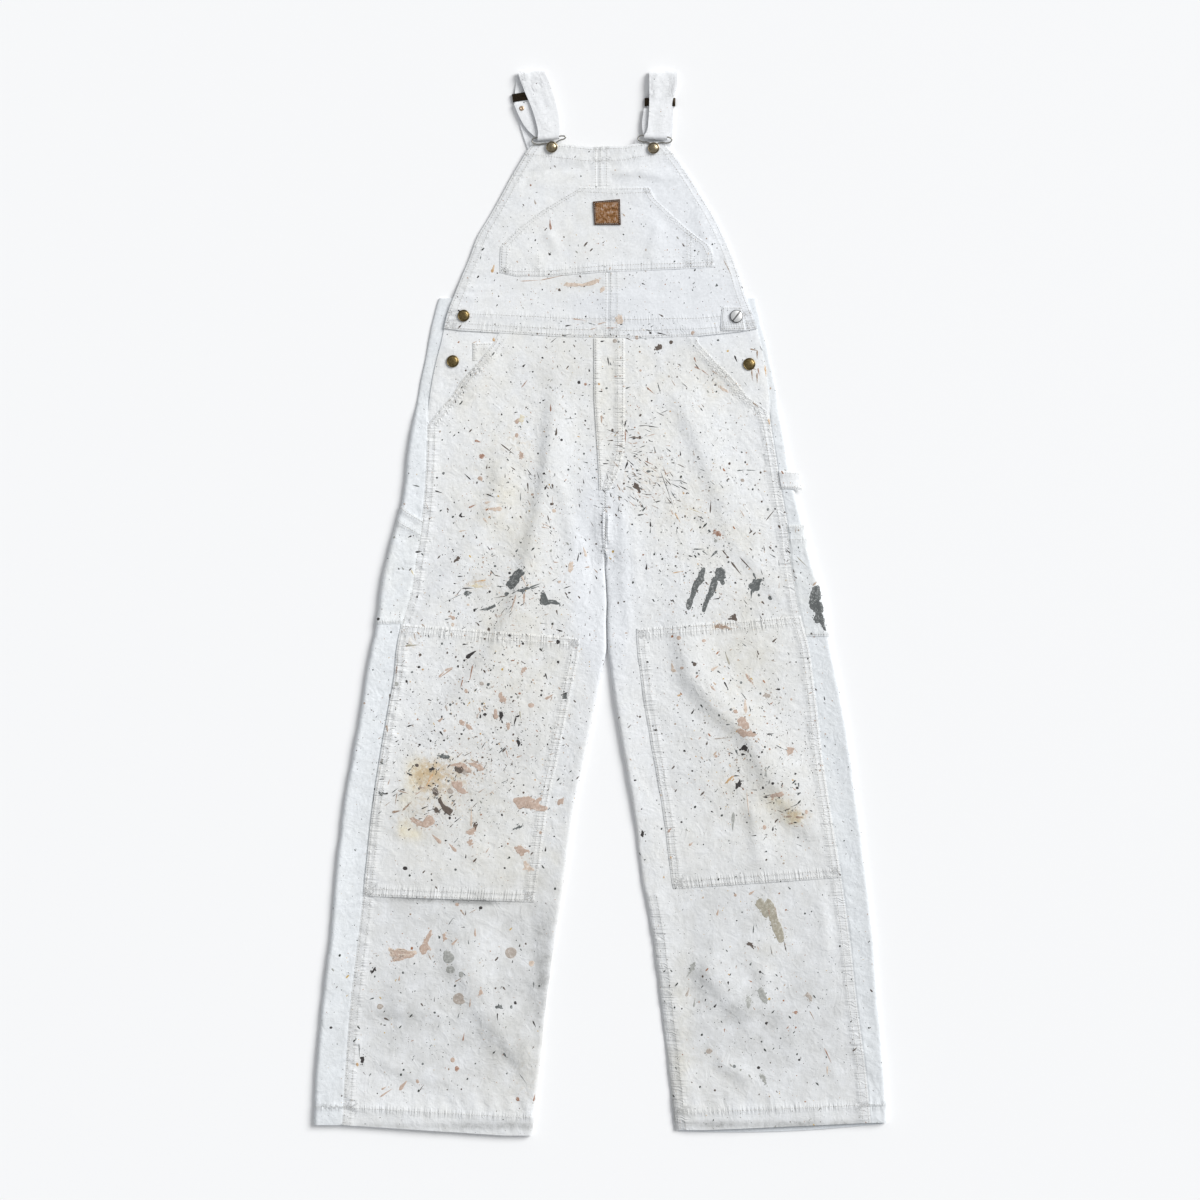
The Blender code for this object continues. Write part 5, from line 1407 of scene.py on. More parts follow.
# Marks that are listed one by one: a drop is x, y, radius; a dart, which landed at a slant and drew out, is its round
# head's x, y, its tail's x, y and its width; a splash is its corners, x and y in turn
MARKS = {
    "black": (
        (-165, -8, 2.2), (-102, -51, 1.8), (-57, -49, 2.6), (-119, -40.5, 1.9), (-197, -278, 2), (-255, -343, 2.8),
        (-151, -143.5, 2.3), (222, -232.5, 1.8), (254, -238.5, 1.9), (-156.5, -394.5, 2.3), (-112, -518, 2.3),
        (-351, -550, 1.8), (206, -477.5, 2), (214, -544, 2), (204, -602, 1.9), (-29, 287.5, 1.9), (-237, -82, 2.1),
        (-253, -100.5, 1.8), (-289.5, -19.5, 1.8), (-175, -69, -162, -60, 6), (-181, 20.5, -165, 20.5, 2),
        (-180, -52.5, -172, -51.8, 2), (-73, -90, -70, -99, 2.2), (-44, -115, -53, -118, 2),
        (-73, -321, -72, -314, 2.2), (-252, -159, -243, -156, 1.8), (-157, -147.5, -157.5, -142, 2.8),
        (-107, -145, -113, -147, 3), (-111, -147, -114, -159, 2.2), (159, -101, 165, -112, 2.4),
        (182, -195, 187, -195, 3.2), (215, -169, 224, -168, 2.6), (172, -223, 180, -223, 2), (76, 174, 95, 122, 0.8),
        (-89, -541, -85, -550, 2.2), (-135, -531, -135, -541, 1.8), (-216, 147, -206, 144, 2),
        (-184, 114, -181, 119, 3.2), (-150, 143, -138, 138, 1.9), (72, 352, 86, 349, 1.8), (34, 184, 30, 174, 2.8),
        (2, 182, 10, 182, 1.9), (8, 320, 10, 308, 1.9), (40, 214, 50, 217, 1.6), (48, 231, 63, 232, 1.2),
        (60, 231, 75, 229, 1.4), (31, 236, 30, 229, 2.4), (-255, -218, -250, -218, -245, -222, -249, -224),
        (-224, -213, -219, -212, -215, -214, -217, -217, -223, -217),
        (179, -228, 182, -230, 181, -237, 178, -239, 174, -239, 174, -235),
        (-111, -176, -106, -177, -104, -182, -108, -184, -109, -180),
        (-133, -139, -129, -140, -128, -145, -130, -150, -132, -152, -132, -146),
        (181, -187, 184, -183, 187, -184, 191, -187, 188, -190, 183, -190),
        (51, -294, 54, -293, 55, -297, 54, -302, 51, -299),
        (-297, -475, -294, -471, -293, -475, -296, -479, -303, -478),
        (-313, -589, -309, -587, -307, -592, -309, -597, -313, -593),
    ),
    "slate": (
        (-123.5, 13, 3.3), (-147, -104, 2.2), (204, 12, 2), (194, -6, 1.8), (219, 8, 2.4), (-117, -523, 1.9),
        (172, -600, 2.3), (-205, 170, 1.8), (61, 172, 2.4), (-94, 21, -78, 27, 2.5), (-92, 19, -79, 24, 1.8),
        (-144, 44, -137, 36, 1.6), (-181, 13, -207, 1, 0.8), (-123, 10, -141, 8, 1), (119, 71, 135, 71.5, 2.2),
        (131, 69, 139, 63, 1.8), (150, 69, 141, 60, 3.5), (195, 18, 194, 6, 3), (197, 40, 201, 31, 3),
        (226, -183, 238, -189, 1.2), (-88, -491, -88, -499, 2.2), (-315, -570, -314, -590, 1.5),
        (-107, -609, -96, -624, 0.9), (-127, -583, -123, -589, 3.2), (197, -428, 198, -415, 1.6),
        (-48, 240, -34, 241, 1.2), (73, 286, 77, 272, 1.4), (176, 173, 186, 174, 1.8), (188, 174, 201, 173, 1.4),
        (-125, 24, -123, 29, -119, 31, -120, 36, -116, 38, -111, 43, -107, 48, -103, 44, -99, 41, -100, 38, -104, 36,
         -107, 30, -110, 25, -113, 21, -117, 19, -121, 22),
        (-81, 4, -80, 8, -79, 13, -76, 16, -72, 13, -71, 6, -65, 6, -57, 4, -53, 0, -56, -1, -66, 0, -70, -1, -79, -1),
        (144, 36, 151, 34, 150, 22, 146, 14, 142, 9, 139, 3, 137, -3, 134, -12, 130, -9, 131, -2, 134, 5, 137, 13, 139,
         20, 142, 28),
        (190, 24, 193, 28, 196, 31, 199, 33, 202, 31, 206, 34, 210, 33, 207, 28, 205, 24, 206, 20, 203, 16, 199, 18,
         197, 14, 195, 18, 192, 20),
        (273, 23, 282, 25, 285, 15, 285, 8, 282, 3, 287, 1, 288, -11, 281, -14, 274, -8, 269, -1, 269, 7, 272, 15),
        (-110, 17, -105, 20, -97, 22, -92, 20, -97, 18, -104, 14),
        (-180, 13, -177, 16, -170, 17, -168, 15, -170, 11, -174, 10),
        (-159, -8, -154, -6, -149, -4, -143, -2, -137, 0, -136, -3, -142, -6, -147, -8, -151, -9),
        (-52, -120, -46, -115, -44, -121, -50, -123),
        (130, 47, 135, 46, 134, 37, 133, 29, 127, 23, 122, 16, 118, 16, 117, 22, 121, 31, 126, 39),
        (117, 21, 124, 20, 122, 12, 119, 5, 118, -1, 115, -8, 109, -7, 109, -1, 111, 6, 115, 9, 116, 15),
        (146, 42, 150, 46, 156, 48, 161, 43, 162, 35, 158, 31, 161, 28, 157, 25, 152, 30, 147, 34),
        (277, -12, 286, -10, 289, -21, 292, -34, 289, -35, 286, -29, 283, -23, 279, -26, 275, -20),
        (-214, -197, -206, -195, -197, -197, -199, -201, -208, -200), (-290, -246, -287, -243, -281, -245, -284, -250),
        (-117, -294, -111, -292, -103, -290, -102, -287, -108, -289, -114, -291),
        (-138, -523, -134, -519, -131, -521, -126, -525, -130, -526, -137, -525),
    ),
    "umber": (
        (-54.5, 407.5, 1.9), (-146, -33, 2.2), (-239, -209, 2.5), (-170, -293, 1.8), (120, -78, 2.6), (164, 61, 1.9),
        (-284, 27, 2.6), (-65, 130, 1.8), (90, 340, 2.4), (198, -167, 2), (-235, -66, 1.9), (50, 216, 2),
        (168, 55, 182, 37, 2.6), (157, 70, 165, 60, 2), (179, 61, 197, 42, 1.6), (222, -49, 228, -44, 3),
        (-161, -285, -165, -294, 2.2), (-205, -266, -214, -250, 2.5), (-59, 219, -58, 229, 3.6),
        (-70, 115, -67, 104, 1.7), (-131, 208, -112, 193, 2), (-96, 157, -95, 146, 2.2), (240, -452, 236, -434, 1.4),
        (141, 118, 142, 135, 2), (-282, -538, -275, -541, 2.8), (213, 108, 226, 124, 1.5),
        (-212, -250, -208, -253, -204, -262, -199, -262, -192, -268, -197, -275, -203, -271, -208, -263, -212, -256),
        (-218, -268, -214, -264, -209, -269, -209, -272, -214, -271),
        (-192, -211, -186, -210, -180, -212, -178, -214, -182, -217, -184, -221, -188, -219, -190, -216),
        (-220, -239, -214, -239, -210, -246, -215, -249, -220, -246), (-166, -284, -163, -284, -163, -294, -166, -294),
        (69, 333, 72, 336, 77, 337, 78, 332, 74, 329, 70, 329),
        (41, 156, 46, 157, 49, 152, 52, 146, 50, 143, 46, 148, 42, 151),
        (170, -15, 173, -13, 176, -19, 177, -23, 173, -22, 164, -20, 168, -17),
        (-192, 53, -190, 58, -186, 63, -183, 60, -187, 57),
        (188, -442, 190, -439, 194, -438, 196, -443, 199, -449, 194, -446),
    ),
    "taupe": (
        (-184, -513, 7.2), (-118, -452, 8), (-288, -523, 4.1), (175.5, -202, 2), (140, -581, 3.6), (183, 161, 2.4),
        (17.5, 341, 2.8), (-155, -103.5, 3), (-202, -132, -200, -140, 3), (110, -509, 114, -499, 3.6),
        (-243, -38, -241, -49, 2.6), (-195, -38, -194, -44, 3), (145, -175, 170, -173, 1.5),
        (-202, -244, -198, -239, -192, -240, -191, -245, -197, -247),
        (-221, -242, -217, -238, -211, -242, -209, -247, -215, -247),
        (-182, -219, -178, -215, -171, -214, -171, -219, -178, -221),
        (264, -508, 268, -504, 273, -508, 273, -516, 268, -513), (210, -119, 214, -115, 220, -118, 216, -121),
    ),
    "tan": (
        (100, -44, 3), (133, -48, 2.4), (-203.5, -164.5, 2), (-91, -131, 3.3), (-175.5, -112.5, 2.8), (104, -83, 2.5),
        (174, -139, 3), (211, -289.5, 2.8), (148.5, -198, 2), (265.5, -269.5, 2.4), (-239, -619, 2.6), (174, -378, 2),
        (46, 346, 2.4), (118, 352, 2.6), (-79, -297, 2.3), (-193, -592, 3), (-187, -390, 2.4), (-158, 163, 3.6),
        (-110, 219, 2.6), (-193, -83, -212, -97, 2), (-111, 12, -118, -12, 2.6), (-100, 14, -101, -3, 3),
        (-72, -123, -62, -117, 4), (-209, -310, -221, -298, 5), (-189, -321, -199, -310, 4),
        (-211, -152, -205, -147, 3.6), (-158, -135, -157, -141, 3.5), (-124, -190, -121, -200, 2),
        (142, -107, 148, -113, 3), (114, -313, 119, -309, 3.2), (219, -249, 235, -247, 4),
        (-194, -442, -186, -434, 3.6), (-164, -431, -164, -420, 3.4), (-171, -523, -170, -511, 2.3),
        (-262, -630, -252, -618, 5), (-288, -640, -270, -628, 2.4), (-285, -630, -279, -626, 2.6),
        (192, -377, 199, -372, 3.4), (150, -404, 152, -396, 3.2), (-78, 100, -68, 98, 1.5), (-211, -95, -203, -86, 2.5),
        (-203, -86, -192, -82, 2.8), (-80, 420, -48, 427, 1.5), (-106, 419, -80, 420, 1.3), (0, 244, 0, 234, 3.2),
        (-5, 363, 7, 366, 1.8), (-38, 370, -20, 368, 1.8), (82, 168, 92, 172, 1.5), (-263, -489, -262, -482, 2.6),
        (-117, -255, -111, -251, -100, -250, -90, -250, -86, -256, -83, -252, -78, -250, -76, -253, -82, -258, -76,
         -262, -69, -263, -69, -268, -76, -270, -86, -268, -96, -265, -104, -264, -107, -268, -109, -262),
        (-249, -278, -245, -276, -242, -280, -240, -284, -232, -283, -228, -279, -226, -273, -220, -275, -216, -283,
         -219, -288, -226, -289, -232, -290, -239, -289, -243, -285),
        (-238, -448, -232, -440, -228, -432, -223, -424, -220, -421, -220, -430, -226, -438, -224, -445, -219, -450,
         -226, -450, -228, -455, -234, -454),
        (-276, -446, -268, -450, -258, -447, -251, -452, -242, -453, -244, -459, -255, -460, -266, -465, -272, -463,
         -273, -454), (-105, -82, -98, -82, -97, -86, -104, -90),
        (-134, -117, -131, -113, -128, -118, -124, -121, -124, -127, -129, -129, -133, -124),
        (-59, -257, -54, -253, -49, -252, -50, -260, -56, -261),
        (-114, -316, -109, -313, -104, -313, -99, -318, -91, -321, -97, -322, -104, -328, -110, -322),
        (-200, -210, -190, -206, -178, -206, -172, -212, -168, -220, -178, -217, -190, -210),
        (-174, -206, -166, -205, -156, -209, -152, -214, -158, -219, -162, -213, -170, -210),
        (-197, -231, -186, -229, -180, -232, -182, -239, -175, -240, -177, -246, -184, -247, -190, -240),
        (-176, -296, -172, -292, -166, -290, -162, -286, -163, -295, -168, -300, -175, -299),
        (-172, -304, -168, -306, -168, -312, -171, -315, -174, -310),
        (-185, -152, -181, -149, -178, -152, -176, -156, -180, -157, -184, -155),
        (-177, -156, -173, -156, -168, -159, -167, -163, -172, -164, -175, -160),
        (-139, -135, -136, -136, -135, -143, -134, -148, -139, -149, -140, -144),
        (-124, -157, -120, -155, -118, -161, -122, -164),
        (175, -149, 181, -147, 186, -145, 188, -150, 191, -156, 190, -162, 184, -163, 178, -156),
        (184, -162, 194, -166, 201, -168, 199, -172, 190, -171, 184, -173, 178, -170, 175, -163),
        (186, -91, 189, -91, 193, -97, 197, -103, 193, -102, 189, -96),
        (240, -187, 244, -186, 250, -186, 248, -191, 244, -196, 241, -192),
        (217, -250, 221, -246, 228, -244, 235, -244, 237, -248, 230, -250, 222, -252),
        (-208, -428, -203, -426, -201, -433, -199, -434, -203, -437, -206, -439, -206, -432),
        (-114, 236, -110, 240, -107, 239, -107, 235, -111, 234),
        (-106, 197, -101, 196, -101, 190, -104, 187, -107, 188, -107, 193),
        (-196, -14, -192, -15, -190, -18, -194, -20, -197, -17),
        (-160, -503, -156, -500, -154, -505, -156, -508, -160, -510),
    ),
    "pale": (
        (-62, 121, 2.8), (-193, -27, 2.2), (-173, -1, 2.2), (-91, -466, 3.6), (-55, 29, 2), (187, -141, 186, -122, 5),
        (143, -86, 152, -80, 4), (188, -242, 192, -280, 1.4), (-104, 38, -96, 20, 2.2), (-20, 62, -24, 75, 4),
        (-151, 131, -143, 133, 3.6), (-153, 111, -147, 104, 3), (-185, 94, -174, 96, 1.7), (293, -600, 293, -612, 2.6),
        (-169, -290, -169, -262, 3.4),
        (-278, -444, -272, -450, -266, -446, -252, -450, -240, -450, -238, -454, -245, -456, -255, -457, -262, -463,
         -270, -465, -274, -457),
        (-48, 412, -48, 417, -38, 417, -28, 415, -20, 416, -12, 419, -4, 423, -1, 420, -8, 415, -20, 412, -34, 412),
        (-102, -333, -98, -334, -91, -341, -85, -346, -94, -347, -101, -345),
        (90, -78, 92, -77, 93, -83, 97, -86, 94, -89, 90, -86),
        (-148, 124, -140, 126, -132, 127, -129, 122, -135, 120, -143, 121),
        (153, 285, 156, 281, 163, 278, 165, 274, 160, 276, 155, 279), (-2, 404, 0, 411, 6, 412, 4, 408, 1, 404),
        (18, 365, 18, 372, 23, 375, 28, 373, 29, 367, 24, 364), (-44, 45, -42, 54, -38, 56, -36, 48, -41, 41),
    ),
    "rust": (
        (-188, -603.5, 3.2), (-109, -643, 2.7), (-21, 285, 2), (252, -530, 2.5), (-155, 192, 3.6),
        (-167, -79, -171, -100, 2.4), (-180, -98, -183, -110, 2), (86, -296, 91.5, -290, 2.8),
        (289, -576, 299, -597, 1.7), (-88, -645, -86, -635, 2.4), (-180, -567, -178, -556, 2.2),
        (-104, 281, -95, 292, 1.7), (-66, 250, -66, 260, 2.6), (-164, 212, -156, 210, 3.3), (-172, 125, -163, 129, 2.6),
        (120, 320, 123, 313, 2), (121, 308, 129, 304, 2.2), (130, 304, 140, 296, 1.5), (203, 306, 205, 296, 2.2),
        (58, 282, 69, 272, 1.7), (31, 225, 31, 208, 2.4), (56, 186, 68, 180, 1.2), (-265, -80, -267, -92, 2),
        (-66, 486, -67, 500, 3.4), (216, -388, 219, -412, 1.5), (5, 358, 22, 359, 1),
        (146, 98, 150, 94, 154, 94, 155, 89, 152, 87, 149, 90, 145, 91),
    ),
    "brown": (
        (193, 331, 203, 329, 2.2), (202, 329, 202, 317, 2.2), (193, 307, 202, 304, 2.4), (195, 305, 196, 289, 2),
        (202, 300, 202, 286, 2.4), (-264, -242, -250, -246, 2.5), (-265, -244, -268, -262, 1.5),
        (-271, -270, -260, -268, 4), (-258, -268, -245, -255, 3), (-237, -238, -226, -239, 2.5),
        (-279, -158, -277, -167, 3), (240, -276, 248, -275, 3), (252, -276, 262, -277, 3.5),
        (243, -285, 249, -284, 2.5), (-245, -277, -236, -285, 3), (-183, -397, -177, -405, 2.5),
        (-162, -396, -173, -402, 1.2), (143, 303, 152, 297, 1.5), (158, 448, 170, 424, 1.1), (196, 262, 205, 254, 1.8),
        (270, -528, 277, -541, 1.2), (225, -392, 229, -410, 1.2), (-170, -202, -151, -210, 1.6),
        (146, -29, 149, -26, 155, -26, 161, -28, 169, -33, 162, -32, 155, -31, 147, -31),
    ),
    "ochre": (
        (-317, -598, 2.2), (-140, 343, 2.5), (-150, 31, -165, 29, 2), (-219, -220, -229, -240, 3.6),
        (95, 118, 103, 105, 1.8), (92, 40, 108, 43, 1.4), (99, -119, 104, -117, 3), (217, 240, 218, 232, 3),
        (212, 310, 214, 294, 2.2), (-142, 431, -139, 441, 4.2),
        (159, -234, 163, -233, 171, -225, 173, -222, 169, -223, 162, -230),
    ),
    "straw": (
        (112, 125, 135, 116, 1.2), (-247, 44, -243, 36, 2.4),
        (-174, 24, -165, 26, -155, 24, -152, 22, -160, 21, -170, 22),
        (-108, 236, -107, 243, -104, 246, -99, 243, -101, 236),
    ),
    "olive": (
        (-106, -139, -105, -149, 2.5), (166, -79, 160, -61, 3), (253, 62, 268, 47, 1.4), (-254, -54, -236, -53, 3.2),
        (214, -382, 222, -385, 226, -398, 231, -411, 236, -424, 238, -438, 232, -442, 225, -430, 219, -413, 214, -398,
         209, -391), (199, -390, 203, -384, 208, -381, 212, -387, 215, -395, 219, -405, 213, -408, 206, -400),
    ),
    "grey": (
        (-200, -459, 7.6), (-196, -475, 4.8), (-182.5, -480, 3.3), (-266, -104, 2.6), (148, 82, 2),
        (213.5, -224, 213, -211, 3), (120, -523, 121, -512, 2.8), (118, -474, 109, -486, 2.6),
        (171, -271, 170, -296, 5),
        (202, -500, 206, -497, 211, -500, 213, -505, 216, -512, 215, -520, 212, -518, 206, -512),
        (188, -515, 190, -508, 194, -512, 194, -519, 191, -525, 188, -519),
        (114, -476, 116, -468, 121, -464, 123, -470, 118, -477),
        (204, -610, 210, -610, 214, -618, 215, -625, 208, -620),
        (-206, -452, -200, -448, -196, -452, -198, -456, -204, -456),
    ),
}
# Finer spatter that no one placed: x, y, reach across, reach along, how many
SPATTERS = (
    (-120, 60, 60, 110, 460), (-160, -185, 75, 75, 600), (130, 90, 75, 100, 380), (185, -195, 75, 70, 430),
    (0, 290, 150, 60, 260), (-20, 430, 130, 45, 160), (-200, -520, 90, 90, 130), (200, -520, 90, 90, 110),
    (0, 180, 60, 60, 160), (-240, -60, 50, 90, 110), (240, -60, 50, 90, 80), (0, 540, 90, 30, 24),
)
BARE_CLOTH = (0.72, 0.725, 0.71, 1)
SPATTER_COLOURS = (("black", 0.38), ("slate", 0.22), ("umber", 0.12), ("taupe", 0.08), ("tan", 0.07), ("rust", 0.05),
                   ("brown", 0.05), ("ochre", 0.03))
# Hair-thin trails flung off a brush: x, y, reach across, reach along, their main direction in degrees, how many
TRAILS = (
    (62, 160, 28, 24, 155, 96), (48, 212, 16, 20, 178, 34), (30, 130, 16, 14, 120, 24), (140, 290, 34, 26, 130, 14),
    (-110, 130, 40, 40, 120, 26), (-130, 10, 50, 34, 20, 44), (225, 70, 24, 30, 125, 16), (190, -90, 30, 60, 120, 26),
    (-210, -235, 48, 40, 40, 76), (245, -265, 30, 25, 170, 14), (-10, 355, 60, 10, 5, 18), (-160, -500, 60, 60, 70, 16),
    (205, -440, 18, 60, 105, 12), (115, 130, 40, 60, 140, 24), (-60, 40, 30, 60, 100, 20),
)
TRAIL_COLOURS = (("black", 0.27), ("slate", 0.27), ("umber", 0.2), ("brown", 0.14), ("tan", 0.12))


def cloth_below():
    """A search tree of every cloth face."""
    bm = bmesh.new()
    for piece in cloth_pieces:
        bm.from_mesh(piece.data)
    tree = BVHTree.FromBMesh(bm)
    bm.free()
    return tree


def flake_pattern(points, rings):
    """A low round cushion, and for each of its points its turn, how far out it is and which side it is on."""
    bm = bmesh.new()
    bmesh.ops.create_uvsphere(bm, u_segments=points, v_segments=rings, radius=1)
    if points == SMALL:  # too small for its hidden underside to matter
        bmesh.ops.dissolve_verts(bm, verts=[vert for vert in bm.verts if vert.co.z < -0.1])
    for edge in bm.edges:
        edge.smooth = max(abs(vert.co.z) for vert in edge.verts) > 0.1
    mesh = meshed("flake", bm)
    x, y, z = points_of(mesh).T
    return mesh, np.arctan2(y, x) / (2 * math.pi) % 1, np.hypot(x, y), z


def round_the(outline, shares):
    """Points at shares of the way round an outline, and the way's whole length."""
    loop = np.vstack((outline, outline[:1]))
    run = run_along(loop)
    return np.stack([np.interp(shares * run[-1], run, loop[:, axis]) for axis in (0, 1)], axis=1), run[-1]


def ragged_edge(along, length, chance):
    return waver(along, length, int(chance.integers(1, 9999)))


def drop_outline(x, y, radius, chance):
    angles = np.linspace(0, 2 * math.pi, 16, endpoint=False)
    reach = radius * (1 + 0.34 * ragged_edge(angles / (2 * math.pi) * 4, 1.0, chance))
    return np.stack((x + reach * np.cos(angles), y + reach * np.sin(angles)), axis=1)


def dart_outline(x, y, tail_x, tail_y, width, chance):
    share = np.array((0, 0.04, 0.12, 0.25, 0.4, 0.55, 0.7, 0.85, 1.0))
    half = width / 2 * np.where(share < 0.25, np.sqrt(np.clip(1 - ((share - 0.25) / 0.25) ** 2, 0, 1)),
                                np.clip(1 - (share - 0.25) / 0.75, 0.12, 1) ** 0.8)
    length = math.hypot(tail_x - x, tail_y - y)
    ahead = np.array((tail_x - x, tail_y - y)) / length
    aside = np.array((-ahead[1], ahead[0]))
    start = np.array((x, y)) - ahead * width * 0.3
    rows = []
    for hand, order in ((1, slice(None)), (-1, slice(None, None, -1))):
        ragged = 1 + 0.3 * chance.uniform(-1, 1, len(share))
        side = start + ahead * (share * (length + width * 0.3))[:, None] + hand * aside * (half * ragged)[:, None]
        rows.append(side[order])
    return np.vstack(rows)


def flung(x, y, turn, length, width, chance):
    return dart_outline(x, y, x + length * math.cos(turn), y + length * math.sin(turn), width, chance)


def splash_outline(numbers, chance):
    corners = np.array(numbers, dtype=float).reshape(-1, 2)
    following = np.roll(corners, -1, axis=0)
    rounded = np.stack((corners * 0.8 + following * 0.2, corners * 0.2 + following * 0.8), axis=1).reshape(-1, 2)
    shares = np.linspace(0, 1, 96, endpoint=False)
    points, length = round_the(rounded, shares)
    out = points - points.mean(axis=0)
    ragged = 1.2 * ragged_edge(shares * length, 3.2, chance) + 0.9 * ragged_edge(shares * length, 1.3, chance)
    return points + out / np.linalg.norm(out, axis=1, keepdims=True) * ragged[:, None]


def satellites(outline, chance):
    """Small drops thrown out round a splash."""
    middle = outline.mean(axis=0)
    for _ in range(int(4 + run_along(np.vstack((outline, outline[:1])))[-1] / 7)):
        edge = outline[chance.integers(len(outline))]
        at = edge + (edge - middle) * chance.uniform(0.0, 0.45) + chance.normal(0, 1.1, 2)
        yield drop_outline(*at, 0.35 + 0.9 * chance.random() ** 3, chance)


def add_flake(bm, outline, points, height):
    """Lays a flake with this outline on the cloth; leaves it out where there is no cloth under it."""
    pattern, turn, out, side = FLAKES[points]
    rim, _ = round_the(outline, turn)
    middle = outline.mean(axis=0)
    places = middle + (rim - middle) * out[:, None] + np.array(CENTRE)
    rise = np.where(side > 0.1, height, np.where(side < -0.1, -0.3, -0.03))
    flake = np.empty((len(places), 3))
    for i, (x, y) in enumerate(places):
        hit = LAND.ray_cast(Vector((x * MM, y * MM, 0.05)), Vector((0, 0, -1)))[0]
        if hit is None or hit.z < LOWEST_CLOTH * MM:
            return
        flake[i] = (x * MM, y * MM, hit.z + rise[i] * MM)
    one = pattern.copy()
    one.vertices.foreach_set("co", flake.ravel())
    bm.from_mesh(one)
    bpy.data.meshes.remove(one)


def from_srgb(colour):
    return tuple(((c / 255 + 0.055) / 1.055) ** 2.4 for c in colour)


def dried_paint(name, colour, rubbed):
    """Matt paint of uneven tone, rubbed back to the cloth in places along the threads."""
    made, tree, shader, place = material("paint_" + name)
    coat = scaled(tree, from_srgb(colour), ranged(tree, noise(tree, place, 0.30, 3.0), 0.3, 0.7, 0.82, 1.2))
    weave = put(tree, "Group", {"Place": place}, "Height", node_tree=WEAVE)
    worn_off = times(tree, weave, 0.12, noise(tree, place, 0.30, 7.0, 0.85))
    bare = ranged(tree, worn_off, 0.80 - 0.34 * rubbed, 0.89 - 0.34 * rubbed, 0.22 * rubbed, 0.88)
    surfaced(tree, shader, blend(tree, bare, coat, BARE_CLOTH), 0.62, times(tree, worn_off, -0.5, weave),
             0.0001, 0.4)
    return made


LARGE, MIDDLING, SMALL = 56, 12, 8  # points round a flake
PLACED_RISE, SPLASH_RISE, THROWN_RISE, SPATTER_RISE = 0.10, 0.12, 0.08, 0.09  # how high a flake stands
DRAWN_OUT = 0.33  # share of the spatter that landed at a slant
TRAIL_SWING = 22  # degrees
LOWEST_CLOTH = 2.5  # a flake that would lie lower has missed the garment's face
LAND = cloth_below()
FLAKES = {points: flake_pattern(points, rings) for points, rings in ((SMALL, 4), (MIDDLING, 6), (LARGE, 10))}
scattered = {name: [] for name in PAINT_COLOURS}
SPATTER_NAMES, SPATTER_SHARES = zip(*SPATTER_COLOURS)
TRAIL_NAMES, TRAIL_SHARES = zip(*TRAIL_COLOURS)
chance = np.random.default_rng(7)
for x, y, across, along, count in SPATTERS:
    for _ in range(count):
        at = (x + across * chance.normal(), y + along * chance.normal())
        name = chance.choice(SPATTER_NAMES, p=SPATTER_SHARES)
        size = 0.42 + 0.28 * chance.random() + 1.2 * chance.random() ** 5
        if chance.random() < DRAWN_OUT:
            turn, length = chance.uniform(0, 2 * math.pi), size * chance.uniform(2.0, 6.0)
            scattered[name].append(flung(*at, turn, length, size * 1.7, chance))
        else:
            scattered[name].append(drop_outline(*at, size, chance))
for x, y, across, along, way, count in TRAILS:
    for _ in range(count):
        at = (x + across * chance.normal(), y + along * chance.normal())
        turn, length = math.radians(way + TRAIL_SWING * chance.normal()), 4 + 11 * chance.random() ** 2
        name = chance.choice(TRAIL_NAMES, p=TRAIL_SHARES)
        scattered[name].append(flung(*at, turn, length, 1.0 + 1.0 * chance.random() ** 2, chance))
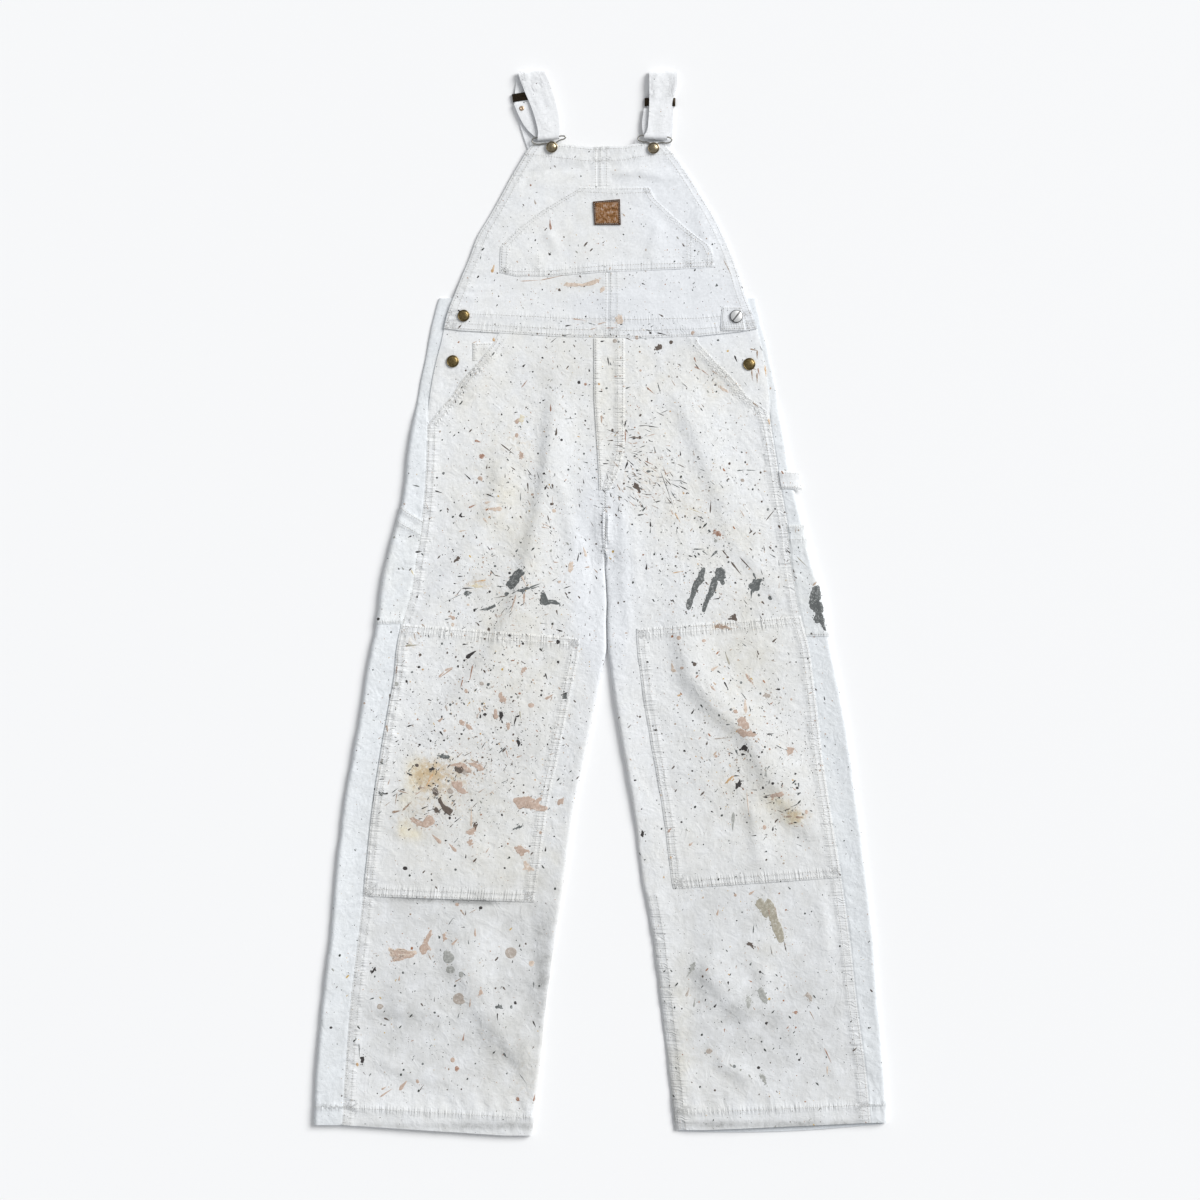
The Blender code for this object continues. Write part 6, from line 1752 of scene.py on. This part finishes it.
for name, (colour, rubbed) in PAINT_COLOURS.items():
    bm = bmesh.new()
    for mark in MARKS.get(name, ()):
        if len(mark) == 3:
            add_flake(bm, drop_outline(*mark, chance), LARGE if mark[2] > 3 else MIDDLING, PLACED_RISE)
        elif len(mark) == 5:
            add_flake(bm, dart_outline(*mark, chance), MIDDLING, SPLASH_RISE)
        else:
            outline = splash_outline(mark, chance)
            add_flake(bm, outline, LARGE, SPLASH_RISE)
            for drop in satellites(outline, chance):
                add_flake(bm, drop, SMALL, THROWN_RISE)
    for outline in scattered[name]:
        add_flake(bm, outline, SMALL, SPATTER_RISE)
    mesh = meshed("paint_" + name, bm)
    mesh.shade_smooth()
    shown(mesh, dried_paint(name, colour, rubbed))
for pattern, *_ in FLAKES.values():
    bpy.data.meshes.remove(pattern)

# ======== table, light and camera
# The garment lies on a plain white table under soft studio light from the upper right, seen from straight
# above.

TABLE_REACH = 6.0  # metres from its middle to an edge
FLOOR_TONE = (0.932, 0.932, 0.932, 1.0)
SUN_STRENGTH, SUN_SPREAD = 3.12, 32  # the spread in degrees
SUN_FROM = (0.70, 0.46, 0.62)
SKY_STRENGTH, SKY_TONE = 0.43, (0.95, 0.97, 1.0, 1.0)
CAMERA_PLACE = (-1.15 * MM, 3.8 * MM, 3.9)
LENS = 90.0

bm = bmesh.new()
bmesh.ops.create_grid(bm, x_segments=1, y_segments=1, size=TABLE_REACH)
table_top = linked("table", meshed("table", bm))
white = bpy.data.materials.new("white_table")
white.use_nodes = True
feed(white.node_tree, white.node_tree.nodes["Principled BSDF"], {"Base Color": FLOOR_TONE, "Roughness": 0.8})
table_top.data.materials.append(white)

sun = bpy.data.lights.new("softbox", "SUN")
sun.energy, sun.angle = SUN_STRENGTH, math.radians(SUN_SPREAD)
linked("softbox", sun).rotation_euler = Vector(SUN_FROM).to_track_quat("Z", "Y").to_euler()

world = bpy.data.worlds.new("studio")
world.use_nodes = True
feed(world.node_tree, world.node_tree.nodes["Background"], {"Color": SKY_TONE, "Strength": SKY_STRENGTH})
bpy.context.scene.world = world

camera = linked("camera", bpy.data.cameras.new("camera"))
camera.data.lens = LENS
camera.location = CAMERA_PLACE
bpy.context.scene.camera = camera
bpy.context.scene.view_settings.view_transform = "Standard"
